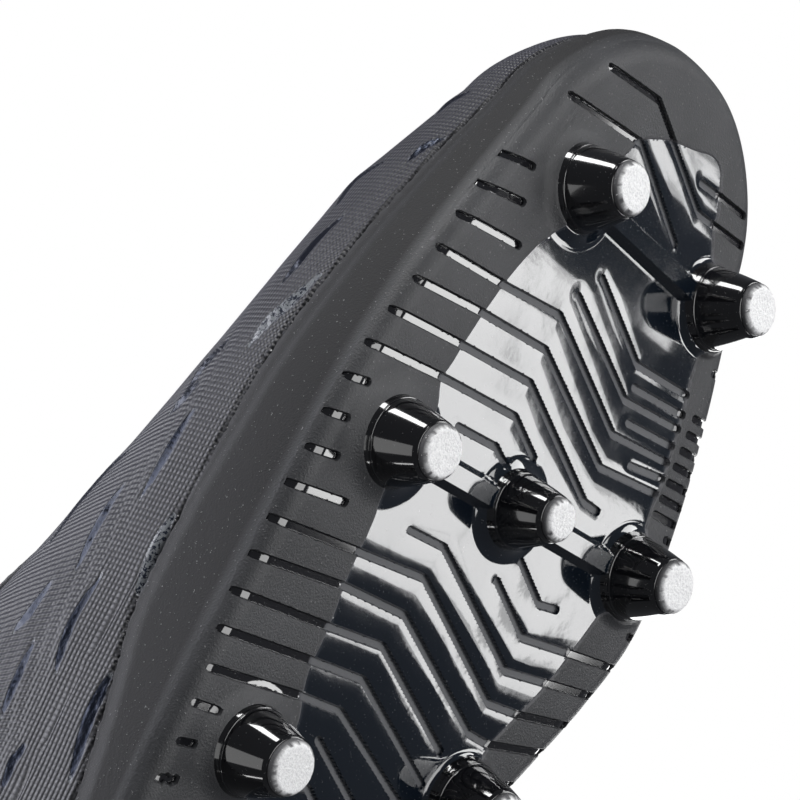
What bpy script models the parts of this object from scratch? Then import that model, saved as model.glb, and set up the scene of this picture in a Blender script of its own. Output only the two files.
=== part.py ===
"""Right-foot soccer cleat: a moulded two-material sole with eleven studs, a one-piece upper lasted
over a board, a padded collar, a tongue and a lace.

Lengths are millimetres in the boot's plan frame: x runs to the toe, y to the inner (big toe) side
and z up from the ground, with x = y = 0 under the middle of the ball of the foot. to_world() turns
them into metres about the middle of the footprint.
"""

import math

import bmesh
import bpy
from mathutils import Matrix, Vector

MM = 0.001
FOOTPRINT_CENTRE = Vector((-50.37, -3.5, 0.0))
FIT_GAP = 0.3

# Sole plate: height of the underside, its toe spring and the lift of the heel seat.
PLATE_UNDERSIDE = 12.1
TOE_SPRING_START = -27.2
TOE_SPRING_CURVE = 0.00123
HEEL_LIFT = 3.0
HEEL_LIFT_START = -75.0
HEEL_LIFT_END = -120.0
PLATE_THICKNESS = 2.7
SIDEWALL_HEIGHT = [(-193, 14), (-85, 13.5), (-65, 16.5), (-48, 20.5), (-10, 20.5), (4, 19.5),
                   (20, 17.5), (44, 15.5), (64, 13), (92, 12)]
SIDEWALL_THICKNESS = 1.8
SIDEWALL_FOOT = 4.0
SIDEWALL_ROWS = 3
PLATE_EDGE_BAND = 5.0
PLATE_EDGE_INSET, PLATE_EDGE_RISE = 1.9, 0.9
MID_SHARE = 0.55

# Plan outline: two side edges between a heel arc and a toe arc.
TOE_CENTRE = Vector((62.0, 0.0))
TOE_RADIUS = [(-90, 33.5), (-60, 28.8), (-30, 27.9), (0, 29.5), (30, 32.6), (60, 33.3), (90, 33.5)]
HEEL_CENTRE = Vector((-160.0, -4.75))
HEEL_REACH = 33.0
HEEL_SPREAD = -2.75
OUTER_EDGE = [(-160, -35), (-125, -38.5), (-95, -44), (-65, -48.2), (-35, -50.2),
              (-5, -51.3), (20, -48), (40, -42), (62, -33.5)]
INNER_EDGE = [(-160, 25.5), (-125, 21.5), (-95, 21), (-65, 26), (-40, 33.5),
              (-20, 40.4), (-3, 44.3), (20, 42), (40, 38.3), (62, 33.5)]

# Upper: crown height over the centre line, height of the widest line, and the top edge.
CROWN = [(-160, 135), (-110, 130), (-92, 114), (-80, 106), (-60, 94), (-40, 85),
         (-20, 77), (0, 70.3), (20, 67), (40, 65.8), (62, 58.6)]
SHOULDER = [(-160, 24), (-60, 22), (0, 14), (62, 10), (90, 8)]
ROUNDNESS = 2.4
BASE_TUCK = 0.03
THROAT_FRONT = -2.0
THROAT_REAR = -88.0
THROAT_NOSE = 8.0
THROAT_HALF_WIDTH = [(-88, 17), (-60, 14), (-30, 11), (-10, 9), (-2, 9)]
COLLAR_DROP = [(-193, 20), (-170, 28), (-150, 33), (-130, 34), (-115, 28), (-100, 14), (-88, 0)]
HEEL_PANEL_FRONT = -136.0
COLLAR_FRONT = -119.0
PANEL_SEAM = 1.0

# Layers of the upper, as depth in from the sole's outer face.
EYESTAY_DEPTH, EYESTAY_THICKNESS = 0.8, 0.9
UPPER_DEPTH, UPPER_THICKNESS = 2.1, 1.4
STIFFENER_DEPTH, STIFFENER_THICKNESS = 3.8, 0.8
LINING_DEPTH, LINING_THICKNESS = 4.9, 0.8
COLLAR_PAD_THICKNESS = 4.0
COLLAR_PAD_HEIGHT = 30.0
TONGUE_DEPTH, TONGUE_THICKNESS = 9.6, 3.6
TONGUE_HALF_WIDTH = 24.0
TONGUE_BASE, TONGUE_TOP = 6.0, -100.0
EYESTAY_WIDTH = 14.0
EYESTAY_FRONT = -7.0
TOE_PUFF_REAR = 48.0
COUNTER_HEIGHT = 40.0
SIDE_ROWS, BAND_ROWS = 3, 2

# Layers on the plate, as height above its underside.
BOARD_BOTTOM, BOARD_TOP = 3.0, 4.5
SOCKLINER_BOTTOM, SOCKLINER_TOP = 4.8, 8.3
SOCKLINER_DEPTH = 6.2

# Studs: plan position, root radius, tip radius and the radius of the moulded boss under each.
BOSS_HEIGHT = 2.4
STUDS = {
    "toe_outer": (52.4, -18.5, 7.5, 4.67, 10.5),
    "toe_inner": (53.8, 24.6, 7.5, 4.67, 8.2),
    "ball_outer": (-5.5, -34.9, 7.5, 4.67, 10.5),
    "ball_centre": (-0.8, -2.4, 6.5, 3.78, 9.5),
    "ball_inner": (4.0, 32.0, 7.5, 4.67, 8.9),
    "waist_outer": (-60.7, -30.1, 7.5, 4.67, 10.5),
    "waist_inner": (-46.5, 20.5, 7.5, 4.67, 8.2),
    "heel_front_outer": (-134.0, -24.0, 8.0, 4.9, 10.5),
    "heel_front_inner": (-134.0, 10.0, 8.0, 4.9, 9.6),
    "heel_rear_outer": (-170.0, -19.5, 8.0, 4.9, 10.5),
    "heel_rear_inner": (-170.0, 8.0, 8.0, 4.9, 10.5),
}
RIBS = [("ball_outer", "ball_centre"), ("ball_centre", "ball_inner"), ("toe_outer", "toe_inner")]
RIB_TOP_HALF_WIDTH, RIB_BASE_HALF_WIDTH, RIB_HEIGHT, RIB_ROOT = 1.65, 3.5, 2.2, 1.2
TIP_THICKNESS = 1.5
TIP_CHAMFER = 0.7
TIP_STEM_RADIUS = 2.0
TIP_STEM_LENGTH = 3.5
STUD_ROOT_BAND = 0.8
STUD_STEP = 0.3
TURNED_STEPS = 16

# Glossy core: its border in the sole frame, outer side first, and the clearance to the frame.
CORE_BORDER = [(-176, -13), (-150, -27), (-128, -27), (-96, -23), (-72, -21), (-52, -22),
               (-36, -27.2), (-17, -30), (7, -30.8), (20, -29), (30, -26.5), (40, -22.5),
               (62.5, -11), (71, -4), (75.5, 7), (77.5, 13), (74, 17), (63, 20.5),
               (45, 28), (30, 29), (14, 31), (-9, 28.7), (-27.5, 23.3), (-50, 14),
               (-72, 6), (-96, 4), (-128, 13), (-150, 16), (-176, 4)]
CORE_CLEARANCE = 0.15

# Lace: one eyelet pair every step up the throat.
EYELET_ROWS = 6
EYELET_FIRST_X, EYELET_STEP = -12.0, -14.0
EYELET_EDGE = 7.0
EYELET_RADIUS = 2.4
LACE_RADIUS = 1.25
LACE_OVER, LACE_UNDER, LACE_SAG = -1.7, 7.4, 4.0
LACE_POINT_SPACING = 8.0

COLOURS = {
    "moulded_gloss": ((0.012, 0.014, 0.018), 0.12, 0.0),
    "moulded_matte": ((0.050, 0.050, 0.054), 0.62, 0.0),
    "stud_gloss": ((0.006, 0.006, 0.007), 0.10, 0.0),
    "tip_metal": ((0.62, 0.62, 0.63), 0.65, 0.9),
    "board": ((0.55, 0.52, 0.46), 0.9, 0.0),
    "foam": ((0.05, 0.05, 0.055), 0.95, 0.0),
    "stiffener": ((0.35, 0.35, 0.33), 0.7, 0.0),
    "textured_synthetic": ((0.055, 0.055, 0.062), 0.55, 0.0),
    "lining_textile": ((0.03, 0.03, 0.033), 0.95, 0.0),
    "lace_textile": ((0.02, 0.02, 0.022), 0.9, 0.0),
}


def remove_everything():
    for item in list(bpy.data.objects):
        bpy.data.objects.remove(item, do_unlink=True)


def new_collection(name):
    collection = bpy.data.collections.new(name)
    bpy.context.scene.collection.children.link(collection)
    return collection


def make_material(name):
    colour, roughness, metallic = COLOURS[name]
    material = bpy.data.materials.new(name)
    material.use_nodes = True
    shader = material.node_tree.nodes["Principled BSDF"]
    shader.inputs["Base Color"].default_value = (*colour, 1.0)
    shader.inputs["Roughness"].default_value = roughness
    shader.inputs["Metallic"].default_value = metallic
    return material


def to_world(point):
    return (Vector(point) - FOOTPRINT_CENTRE) * MM


def through(points, x):
    """Smooth curve through a few (x, value) points, sorted by x."""
    x = min(max(x, points[0][0]), points[-1][0])
    slopes = []
    for i in range(len(points)):
        low, high = points[max(i - 1, 0)], points[min(i + 1, len(points) - 1)]
        slopes.append((high[1] - low[1]) / (high[0] - low[0]))
    i = max(k for k in range(len(points) - 1) if x >= points[k][0])
    (x0, y0), (x1, y1) = points[i], points[i + 1]
    span = x1 - x0
    t = (x - x0) / span
    return ((2 * t**3 - 3 * t**2 + 1) * y0 + (t**3 - 2 * t**2 + t) * span * slopes[i]
            + (3 * t**2 - 2 * t**3) * y1 + (t**3 - t**2) * span * slopes[i + 1])


def sole_height(x):
    """Height of the plate's underside above the ground."""
    spring = TOE_SPRING_CURVE * max(x - TOE_SPRING_START, 0.0) ** 2
    t = min(max((HEEL_LIFT_START - x) / (HEEL_LIFT_START - HEEL_LIFT_END), 0.0), 1.0)
    return PLATE_UNDERSIDE + spring + HEEL_LIFT * t * t * (3 - 2 * t)


def perimeter(u):
    """Outline point and the centre-line point it faces; u runs 0-4 over outer side, toe, inner side, heel."""
    leg, t = divmod(u % 4.0, 1.0)
    if leg in (0, 2):
        x = HEEL_CENTRE.x + (t if leg == 0 else 1 - t) * (TOE_CENTRE.x - HEEL_CENTRE.x)
        outer, inner = through(OUTER_EDGE, x), through(INNER_EDGE, x)
        return Vector((x, outer if leg == 0 else inner)), Vector((x, (outer + inner) / 2))
    if leg == 1:
        centre, angle = TOE_CENTRE, math.pi * (t - 0.5)
        radius = through(TOE_RADIUS, math.degrees(angle))
    else:
        centre, angle = HEEL_CENTRE, math.pi * (t + 0.5)
        radius = HEEL_REACH + HEEL_SPREAD * math.sin(angle) ** 2
    return centre + radius * Vector((math.cos(angle), math.sin(angle))), centre.copy()


def side_u(x, inner):
    """Perimeter position of the side point at x."""
    t = (x - HEEL_CENTRE.x) / (TOE_CENTRE.x - HEEL_CENTRE.x)
    return 3.0 - t if inner else t


def skin_base(x):
    return sole_height(x) + PLATE_THICKNESS + FIT_GAP


def skin_levels(u):
    """Outline point, centre-line point, and the base, widest and crown heights of the section at u."""
    base, spine = perimeter(u)
    bottom = skin_base(base.x)
    return base, spine, bottom, bottom + through(SHOULDER, base.x), through(CROWN, spine.x)


def skin_surface(u, v):
    """Outside of the upper: v 0 is its base, 0.5 its widest line and 1.5 its crown."""
    base, spine, bottom, widest, crown = skin_levels(u)
    if v < 0.5:
        reach = 1 - BASE_TUCK * (1 - 2 * v) ** 2
        height = bottom + 2 * v * (widest - bottom)
    else:
        angle = min(v - 0.5, 1.0) * math.pi / 2
        reach = max(math.cos(angle), 0.0) ** (2 / ROUNDNESS)
        height = widest + (crown - widest) * math.sin(angle) ** (2 / ROUNDNESS)
    plan = spine + (base - spine) * reach
    return Vector((plan.x, plan.y, height))


def skin_normal(u, v):
    if v >= 1.5 - 1e-6:
        spine = perimeter(u)[1]
        slope = (through(CROWN, spine.x + 1) - through(CROWN, spine.x - 1)) / 2
        return Vector((-slope, 0, 1)).normalized()
    step = 0.004
    along = skin_surface(u + step, v) - skin_surface(u - step, v)
    up = skin_surface(u, min(v + step, 1.5)) - skin_surface(u, max(v - step, 0.0))
    return along.cross(up).normalized()


def skin(u, v, depth=0.0):
    """Point at a depth inside the outer face."""
    return skin_surface(u, v) - skin_normal(u, v) * depth


def v_at_height(u, height):
    _, _, bottom, widest, crown = skin_levels(u)
    if height < widest:
        return max(0.5 * (height - bottom) / (widest - bottom), 0.0)
    share = min((height - widest) / (crown - widest), 1.0)
    return 0.5 + math.asin(share ** (ROUNDNESS / 2)) * 2 / math.pi


def v_at_offset(u, offset):
    """v where the surface is offset sideways from the centre line."""
    base, spine = perimeter(u)
    share = min(offset / (base - spine).length, 1.0)
    return 0.5 + math.acos(share ** (ROUNDNESS / 2)) * 2 / math.pi


def walk_down(u, v, distance):
    """v at a distance down the section from v, measured along the surface."""
    step = 0.01
    here = skin_surface(u, v)
    while distance > 0 and v > step:
        there = skin_surface(u, v - step)
        length = (there - here).length
        if length > distance:
            return v - step * distance / length
        distance -= length
        v -= step
        here = there
    return v


def throat_half_width(x):
    """Half width of the lacing gap; its front end is rounded."""
    nose = min(max((THROAT_FRONT - x) / THROAT_NOSE, 0.0), 1.0)
    return through(THROAT_HALF_WIDTH, x) * math.sqrt(nose * (2 - nose))


def top_edge_v(u):
    """v of the upper's top edge: the crown, the lacing gap or the collar line."""
    x = perimeter(u)[0].x
    if x >= THROAT_FRONT or 1 <= u % 4 <= 2:
        return 1.5
    if x >= THROAT_REAR:
        return v_at_offset(u, throat_half_width(x))
    corner = side_u(THROAT_REAR, u % 4 > 2)
    corner_height = skin_surface(corner, v_at_offset(corner, throat_half_width(THROAT_REAR))).z
    return v_at_height(u, corner_height - through(COLLAR_DROP, x))


SIDE_STOPS = [-160, -148, -136, -119, -104, -92, -88, -80, -66, -52, -38, -24, -12, -7, -4, -2.5,
              -2, 6, 20, 34, 48, 62]
TOE_STOPS = [1 + i / 10 for i in range(1, 10)]
HEEL_STOPS = [3 + i / 10 for i in range(1, 10)]


def front_stops(rear_x):
    """Perimeter positions from the outer side at rear_x round the toe to the inner side at rear_x."""
    xs = [x for x in SIDE_STOPS if x >= rear_x]
    return [side_u(x, False) for x in xs] + TOE_STOPS + [side_u(x, True) for x in reversed(xs)]


def rear_stops(front_x):
    """Perimeter positions from the inner side at front_x round the heel to the outer side at front_x."""
    xs = [x for x in SIDE_STOPS if x < front_x] + [front_x]
    back = [side_u(x, True) for x in reversed(xs)] + HEEL_STOPS
    return back + [4 + side_u(x, False) for x in xs]


def link_object(name, mesh, material_name):
    item = bpy.data.objects.new(name, mesh)
    mesh.materials.append(MATERIALS[material_name])
    PARTS.objects.link(item)
    return item


def mesh_from_rows(name, rows, closed):
    """Mesh over rows of points; rows run along the boot and each row runs out and up."""
    work = bmesh.new()
    verts = [[work.verts.new(to_world(p)) for p in row] for row in rows]
    last = len(rows) if closed else len(rows) - 1
    for i in range(last):
        here, there = verts[i], verts[(i + 1) % len(rows)]
        for j in range(len(here) - 1):
            work.faces.new((here[j], there[j], there[j + 1], here[j + 1]))
    return work


def finish_mesh(name, work):
    bmesh.ops.remove_doubles(work, verts=work.verts, dist=1e-7)
    mesh = bpy.data.meshes.new(name)
    work.to_mesh(mesh)
    work.free()
    mesh.shade_smooth()
    mesh.set_sharp_from_angle(angle=math.radians(40))
    return mesh


def spread(low, high, count):
    """count + 1 even values from low to high."""
    return [low + (high - low) * j / count for j in range(count + 1)]


def shell(name, runs, row_values, depth, thickness, material_name):
    """Sheet of the upper over runs of stops, given its thickness by Solidify."""
    work = bmesh.new()
    for run in runs:
        points = [[skin(u, v, depth) for v in row_values(u)] for u in run]
        part = mesh_from_rows(name, points, False)
        mesh = bpy.data.meshes.new(name)
        part.to_mesh(mesh)
        part.free()
        work.from_mesh(mesh)
        bpy.data.meshes.remove(mesh)
    item = link_object(name, finish_mesh(name, work), material_name)
    solid = item.modifiers.new("thickness", "SOLIDIFY")
    solid.thickness = thickness * MM
    solid.offset = -1.0
    return item


def slab(name, depth, bottom, top, material_name):
    """Flat layer on the plate, following the sole's height, with its edge at a depth."""
    rows = []
    for u in front_stops(HEEL_CENTRE.x) + HEEL_STOPS:
        spine, edge = perimeter(u)[1], skin(u, 0.0, depth)
        row = []
        for level, shares in ((bottom, (0.0, MID_SHARE, 1.0)), (top, (1.0, MID_SHARE, 0.0))):
            for share in shares:
                x = spine.x + (edge.x - spine.x) * share
                y = spine.y + (edge.y - spine.y) * share
                row.append((x, y, sole_height(x) + level))
        rows.append(row)
    return link_object(name, finish_mesh(name, mesh_from_rows(name, rows, True)), material_name)


def tray_row(u):
    """Half section of the sole tray, from the centre line out, up the side wall and back in."""
    base, spine = perimeter(u)
    inward = (spine - base).normalized()

    def on_plate(share, inset, level):
        plan = spine + (base + inward * inset - spine) * share
        return Vector((plan.x, plan.y, sole_height(plan.x) + level))

    foot = skin(u, 0.0, SIDEWALL_THICKNESS)
    foot.z = sole_height(foot.x) + PLATE_THICKNESS
    wall = spread(v_at_height(u, sole_height(base.x) + SIDEWALL_FOOT),
                  v_at_height(u, sole_height(base.x) + through(SIDEWALL_HEIGHT, base.x)), SIDEWALL_ROWS)
    return [on_plate(0, 0, 0), on_plate(MID_SHARE, 0, 0), on_plate(1, PLATE_EDGE_BAND, 0),
            on_plate(1, PLATE_EDGE_INSET, PLATE_EDGE_RISE), *(skin(u, v) for v in wall),
            *(skin(u, v, SIDEWALL_THICKNESS) for v in reversed(wall)), foot,
            on_plate(MID_SHARE, 0, PLATE_THICKNESS), on_plate(0, 0, PLATE_THICKNESS)]


def sole_normal(x):
    """Outward (downward) direction of the plate's underside."""
    slope = sole_height(x + 0.5) - sole_height(x - 0.5)
    return Vector((slope, 0, -1)).normalized()


def stud_frame(x, y):
    """Matrix at the plate's underside whose +Z points out of the plate, towards the ground."""
    matrix = sole_normal(x).to_track_quat("Z", "Y").to_matrix().to_4x4()
    matrix.translation = to_world((x, y, sole_height(x)))
    return matrix


def stud_length(x):
    """Axial length from the plate to the tip: the heel studs reach the same ground as the front."""
    return sole_height(x) if x < TOE_SPRING_START else PLATE_UNDERSIDE


def turned(name, profile, matrix, material_name):
    """Solid of revolution about the local Z axis from a (radius, height) profile, top first."""
    mesh = bpy.data.meshes.new(name)
    points = [(radius * MM, 0.0, height * MM) for radius, height in profile]
    mesh.from_pydata(points, [(i, i + 1) for i in range(len(points) - 1)], [])
    item = link_object(name, mesh, material_name)
    item.matrix_world = matrix
    screw = item.modifiers.new("turn", "SCREW")
    screw.axis = "Z"
    screw.steps = TURNED_STEPS
    screw.render_steps = TURNED_STEPS
    screw.use_merge_vertices = True
    screw.merge_threshold = 0.00001
    screw.use_smooth_shade = True
    return item


def add_studs():
    for name, (x, y, root_radius, tip_radius, _) in STUDS.items():
        matrix = stud_frame(x, y)
        end = stud_length(x)
        root = BOSS_HEIGHT + FIT_GAP
        tip_back = end - TIP_THICKNESS
        stem_end = tip_back - TIP_STEM_LENGTH
        turned("stud_" + name, [
            (0, stem_end - FIT_GAP), (TIP_STEM_RADIUS + FIT_GAP, stem_end - FIT_GAP),
            (TIP_STEM_RADIUS + FIT_GAP, tip_back - FIT_GAP), (tip_radius + STUD_STEP, tip_back - FIT_GAP),
            (root_radius - STUD_STEP, root + STUD_ROOT_BAND), (root_radius, root), (0, root)],
            matrix, "stud_gloss")
        turned("tip_" + name, [
            (0, end), (tip_radius - TIP_CHAMFER, end), (tip_radius, end - TIP_CHAMFER),
            (tip_radius, tip_back), (TIP_STEM_RADIUS, tip_back), (TIP_STEM_RADIUS, stem_end),
            (0, stem_end)], matrix, "tip_metal")


def cutter_cylinder(name, matrix, radius, low, high, collection, steps=20):
    """Closed cylinder along the local Z axis, from low to high."""
    work = bmesh.new()
    bmesh.ops.create_cone(work, cap_ends=True, segments=steps, radius1=radius * MM,
                          radius2=radius * MM, depth=(high - low) * MM)
    bmesh.ops.translate(work, verts=work.verts, vec=(0, 0, (low + high) / 2 * MM))
    return link_tool(name, work, matrix, collection)


def link_tool(name, work, matrix, collection):
    mesh = bpy.data.meshes.new(name)
    work.to_mesh(mesh)
    work.free()
    item = bpy.data.objects.new(name, mesh)
    item.matrix_world = matrix
    item.hide_render = True
    item.display_type = "WIRE"
    collection.objects.link(item)
    return item


def core_prism(name, grow, collection):
    """Upright prism over the glossy core's border, grown outwards."""
    count = len(CORE_BORDER)
    outline = []
    for i, point in enumerate(CORE_BORDER):
        along = Vector(CORE_BORDER[(i + 1) % count]) - Vector(CORE_BORDER[i - 1])
        outline.append(Vector(point) + Vector((along.y, -along.x)).normalized() * grow)
    work = bmesh.new()
    low = [work.verts.new(to_world((p.x, p.y, 4.0))) for p in outline]
    high = [work.verts.new(to_world((p.x, p.y, 44.0))) for p in outline]
    work.faces.new(low[::-1])
    work.faces.new(high)
    for i in range(count):
        j = (i + 1) % count
        work.faces.new((low[i], low[j], high[j], high[i]))
    return link_tool(name, work, Matrix(), collection)


def boss(name, x, y, root_radius, boss_radius, collection):
    """Disc in the plate with the low flared boss that a stud stands on."""
    work = bmesh.new()
    disc = PLATE_THICKNESS - 0.2
    bmesh.ops.create_cone(work, cap_ends=True, segments=20, radius1=(boss_radius - CORE_CLEARANCE) * MM,
                          radius2=(boss_radius - CORE_CLEARANCE) * MM, depth=disc * MM)
    bmesh.ops.translate(work, verts=work.verts, vec=(0, 0, -disc / 2 * MM))
    rim = [v for v in work.verts if v.co.z > -0.5 * disc * MM]
    top = [f for f in work.faces if all(v in rim for v in f.verts)]
    raised = bmesh.ops.extrude_face_region(work, geom=top)["geom"]
    bmesh.ops.delete(work, geom=top, context="FACES_ONLY")
    crown = [v for v in raised if isinstance(v, bmesh.types.BMVert)]
    share = (root_radius + 0.2) / (boss_radius - CORE_CLEARANCE)
    bmesh.ops.scale(work, verts=crown, vec=(share, share, 1))
    bmesh.ops.translate(work, verts=crown, vec=(0, 0, BOSS_HEIGHT * MM))
    return link_tool(name, work, stud_frame(x, y), collection)


def rib(name, start, end, collection):
    """Trapezoid bar on the plate's underside that joins two bosses."""
    a, b = Vector(STUDS[start][:2]), Vector(STUDS[end][:2])
    middle = (a + b) / 2
    matrix = stud_frame(middle.x, middle.y)
    local = matrix.to_3x3().inverted() @ Vector((b.x - a.x, b.y - a.y, sole_height(b.x) - sole_height(a.x)))
    matrix = matrix @ Matrix.Rotation(math.atan2(local.y, local.x), 4, "Z")
    half = local.length / 2
    work = bmesh.new()
    bmesh.ops.create_cube(work, size=2.0)
    for vert in work.verts:
        top = vert.co.z > 0
        width = RIB_TOP_HALF_WIDTH if top else RIB_BASE_HALF_WIDTH
        vert.co = Vector((vert.co.x * half, vert.co.y * width, RIB_HEIGHT if top else -RIB_ROOT)) * MM
    return link_tool(name, work, matrix, collection)


def cut(item, operation, tool):
    """Exact Boolean with one object or with every object of a collection."""
    modifier = item.modifiers.new("cut", "BOOLEAN")
    modifier.operation = operation
    modifier.solver = "EXACT"
    if isinstance(tool, bpy.types.Collection):
        modifier.operand_type = "COLLECTION"
        modifier.collection = tool
    else:
        modifier.object = tool


def add_sole():
    frame_cuts = new_collection("frame_cutters")
    core_cuts = new_collection("core_cutters")
    bosses = new_collection("boss_shapes")
    core_prism("core_opening", CORE_CLEARANCE, frame_cuts)
    border = core_prism("core_border", -CORE_CLEARANCE, core_cuts)
    for name, (x, y, root_radius, _, boss_radius) in STUDS.items():
        cutter_cylinder("opening_" + name, stud_frame(x, y), boss_radius + CORE_CLEARANCE,
                        -PLATE_THICKNESS - 0.1, 5.0, frame_cuts)
        boss("boss_" + name, x, y, root_radius, boss_radius, bosses)
    for start, end in RIBS:
        rib("rib_" + start, start, end, bosses)
    rows = [tray_row(u) for u in front_stops(HEEL_CENTRE.x) + HEEL_STOPS]
    frame = link_object("outsole_frame", finish_mesh("outsole_frame", mesh_from_rows(
        "outsole_frame", rows, True)), "moulded_matte")
    cut(frame, "DIFFERENCE", frame_cuts)
    core = slab("outsole_core", PLATE_EDGE_BAND, 0.0, PLATE_THICKNESS, "moulded_gloss")
    cut(core, "INTERSECT", border)
    cut(core, "UNION", bosses)


def lining_base_v(u):
    return v_at_height(u, skin_base(perimeter(u)[0].x) + BOARD_TOP - BOARD_BOTTOM + FIT_GAP)


def below_edge_v(u, drop):
    """v at a distance below the top edge; a closed section has no edge to drop from."""
    v = top_edge_v(u)
    return walk_down(u, v, drop) if v < 1.5 else v


def band_v(u):
    """Lower line of the band that follows the top edge, where the eyestays lie."""
    return walk_down(u, top_edge_v(u), EYESTAY_WIDTH)


def section_rows(base_v, edge_drop):
    """Row function of the layered sheets: rows up the side, then the band along the edge."""
    def rows(u):
        band = band_v(u)
        side = [base_v(u), 0.25] + spread(0.5, band, SIDE_ROWS)
        return side + spread(band, below_edge_v(u, edge_drop), BAND_ROWS)[1:]
    return rows


def add_upper():
    def up_to_edge(u):
        return spread(0.0, top_edge_v(u), 5)

    def up_to_padding(u):
        return spread(lining_base_v(u), below_edge_v(u, COLLAR_PAD_HEIGHT + 1.0), 3)

    def padding(u):
        return spread(below_edge_v(u, COLLAR_PAD_HEIGHT), below_edge_v(u, 1.0), 3)

    def counter(u):
        return spread(lining_base_v(u), v_at_height(u, skin_base(perimeter(u)[0].x) + COUNTER_HEIGHT), 3)

    shell("upper", [front_stops(HEEL_PANEL_FRONT)], section_rows(lambda u: 0.0, 0.0),
          UPPER_DEPTH, UPPER_THICKNESS, "textured_synthetic")
    shell("heel_panel", [rear_stops(HEEL_PANEL_FRONT - PANEL_SEAM)], up_to_edge,
          UPPER_DEPTH, UPPER_THICKNESS, "textured_synthetic")
    shell("vamp_lining", [front_stops(COLLAR_FRONT)], section_rows(lining_base_v, 1.5),
          LINING_DEPTH, LINING_THICKNESS, "lining_textile")
    shell("heel_lining", [rear_stops(COLLAR_FRONT - PANEL_SEAM)], up_to_padding,
          LINING_DEPTH, LINING_THICKNESS, "lining_textile")
    shell("collar_padding", [rear_stops(COLLAR_FRONT - PANEL_SEAM)], padding,
          LINING_DEPTH, COLLAR_PAD_THICKNESS, "foam")
    shell("toe_puff", [front_stops(TOE_PUFF_REAR)], section_rows(lining_base_v, 0.0),
          STIFFENER_DEPTH, STIFFENER_THICKNESS, "stiffener")
    shell("heel_counter", [rear_stops(HEEL_PANEL_FRONT - 4)], counter,
          STIFFENER_DEPTH, STIFFENER_THICKNESS, "stiffener")


def add_tongue():
    xs = [TONGUE_TOP, -92, -80, -66, -52, -38, -24, -12, -2, TONGUE_BASE]

    def across(u):
        return spread(v_at_offset(u, TONGUE_HALF_WIDTH), 1.5, 3)

    runs = [[side_u(x, False) for x in xs], [side_u(x, True) for x in reversed(xs)]]
    shell("tongue", runs, across, TONGUE_DEPTH, TONGUE_THICKNESS, "foam")


def eyelet(row, inner):
    """Perimeter position and v of an eyelet's centre."""
    x = EYELET_FIRST_X + row * EYELET_STEP
    u = side_u(x, inner)
    return u, walk_down(u, top_edge_v(u), EYELET_EDGE)


def add_eyestays():
    def band(u):
        return spread(band_v(u), top_edge_v(u), BAND_ROWS)

    xs = [x for x in SIDE_STOPS if THROAT_REAR <= x <= EYESTAY_FRONT]
    runs = {"eyestay_outer": [side_u(x, False) for x in xs],
            "eyestay_inner": [side_u(x, True) for x in reversed(xs)]}
    for name, run in runs.items():
        shell(name, [run], band, EYESTAY_DEPTH, EYESTAY_THICKNESS, "textured_synthetic")


def punch_eyelets():
    punches = new_collection("eyelet_punches")
    for row in range(EYELET_ROWS):
        for inner in (False, True):
            u, v = eyelet(row, inner)
            matrix = skin_normal(u, v).to_track_quat("Z", "Y").to_matrix().to_4x4()
            matrix.translation = to_world(skin(u, v))
            cutter_cylinder(f"punch_{row}_{'inner' if inner else 'outer'}", matrix, EYELET_RADIUS,
                            -LINING_DEPTH - 4.0, 4.0, punches, 8)
    for name in ("upper", "vamp_lining", "eyestay_outer", "eyestay_inner"):
        cut(PARTS.objects[name], "DIFFERENCE", punches)


def lace_route():
    """Centre line: a bar across each eyelet pair, and a hidden run up the inside to the next pair."""
    points = []
    for row in range(EYELET_ROWS):
        sides = (False, True) if row % 2 == 0 else (True, False)
        x = EYELET_FIRST_X + row * EYELET_STEP
        gap = throat_half_width(x)
        for turn, inner in enumerate(sides):
            u, v = eyelet(row, inner)
            outwards = [skin(u, v, LACE_UNDER), skin(u, v, 3.0), skin(u, v, LACE_OVER + 0.9),
                        skin(u, v_at_offset(u, gap + 3.6), LACE_OVER),
                        skin(u, v_at_offset(u, gap * 0.7), LACE_OVER + 1.6)]
            if turn == 0:
                middle = skin(u, 1.5, LACE_SAG)
                points += outwards + [middle]
            else:
                points += outwards[::-1]
    return points


def smooth_route(points, spacing):
    """Points read from a curve that passes through every given point."""
    result = []
    for i in range(len(points) - 1):
        before, here = points[max(i - 1, 0)], points[i]
        there, after = points[i + 1], points[min(i + 2, len(points) - 1)]
        steps = max(round((there - here).length / spacing), 1)
        for j in range(steps):
            t = j / steps
            result.append(0.5 * (2 * here + (there - before) * t
                                 + (2 * before - 5 * here + 4 * there - after) * t * t
                                 + (3 * here - before - 3 * there + after) * t**3))
    return result + [points[-1]]


def add_lace():
    route = smooth_route(lace_route(), LACE_POINT_SPACING)
    curve = bpy.data.curves.new("lace", "CURVE")
    curve.dimensions = "3D"
    curve.bevel_depth = LACE_RADIUS * MM
    curve.bevel_resolution = 2
    curve.use_fill_caps = True
    spline = curve.splines.new("POLY")
    spline.points.add(len(route) - 1)
    for point, target in zip(spline.points, route):
        point.co = (*to_world(target), 1.0)
    item = bpy.data.objects.new("lace", curve)
    curve.materials.append(MATERIALS["lace_textile"])
    PARTS.objects.link(item)


def set_pivot(name, pivot):
    """Moves an object's origin onto its joint axis without moving its shape."""
    item = PARTS.objects[name]
    shift = to_world(pivot)
    item.data.transform(Matrix.Translation(-shift))
    item.matrix_world = Matrix.Translation(shift)


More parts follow.
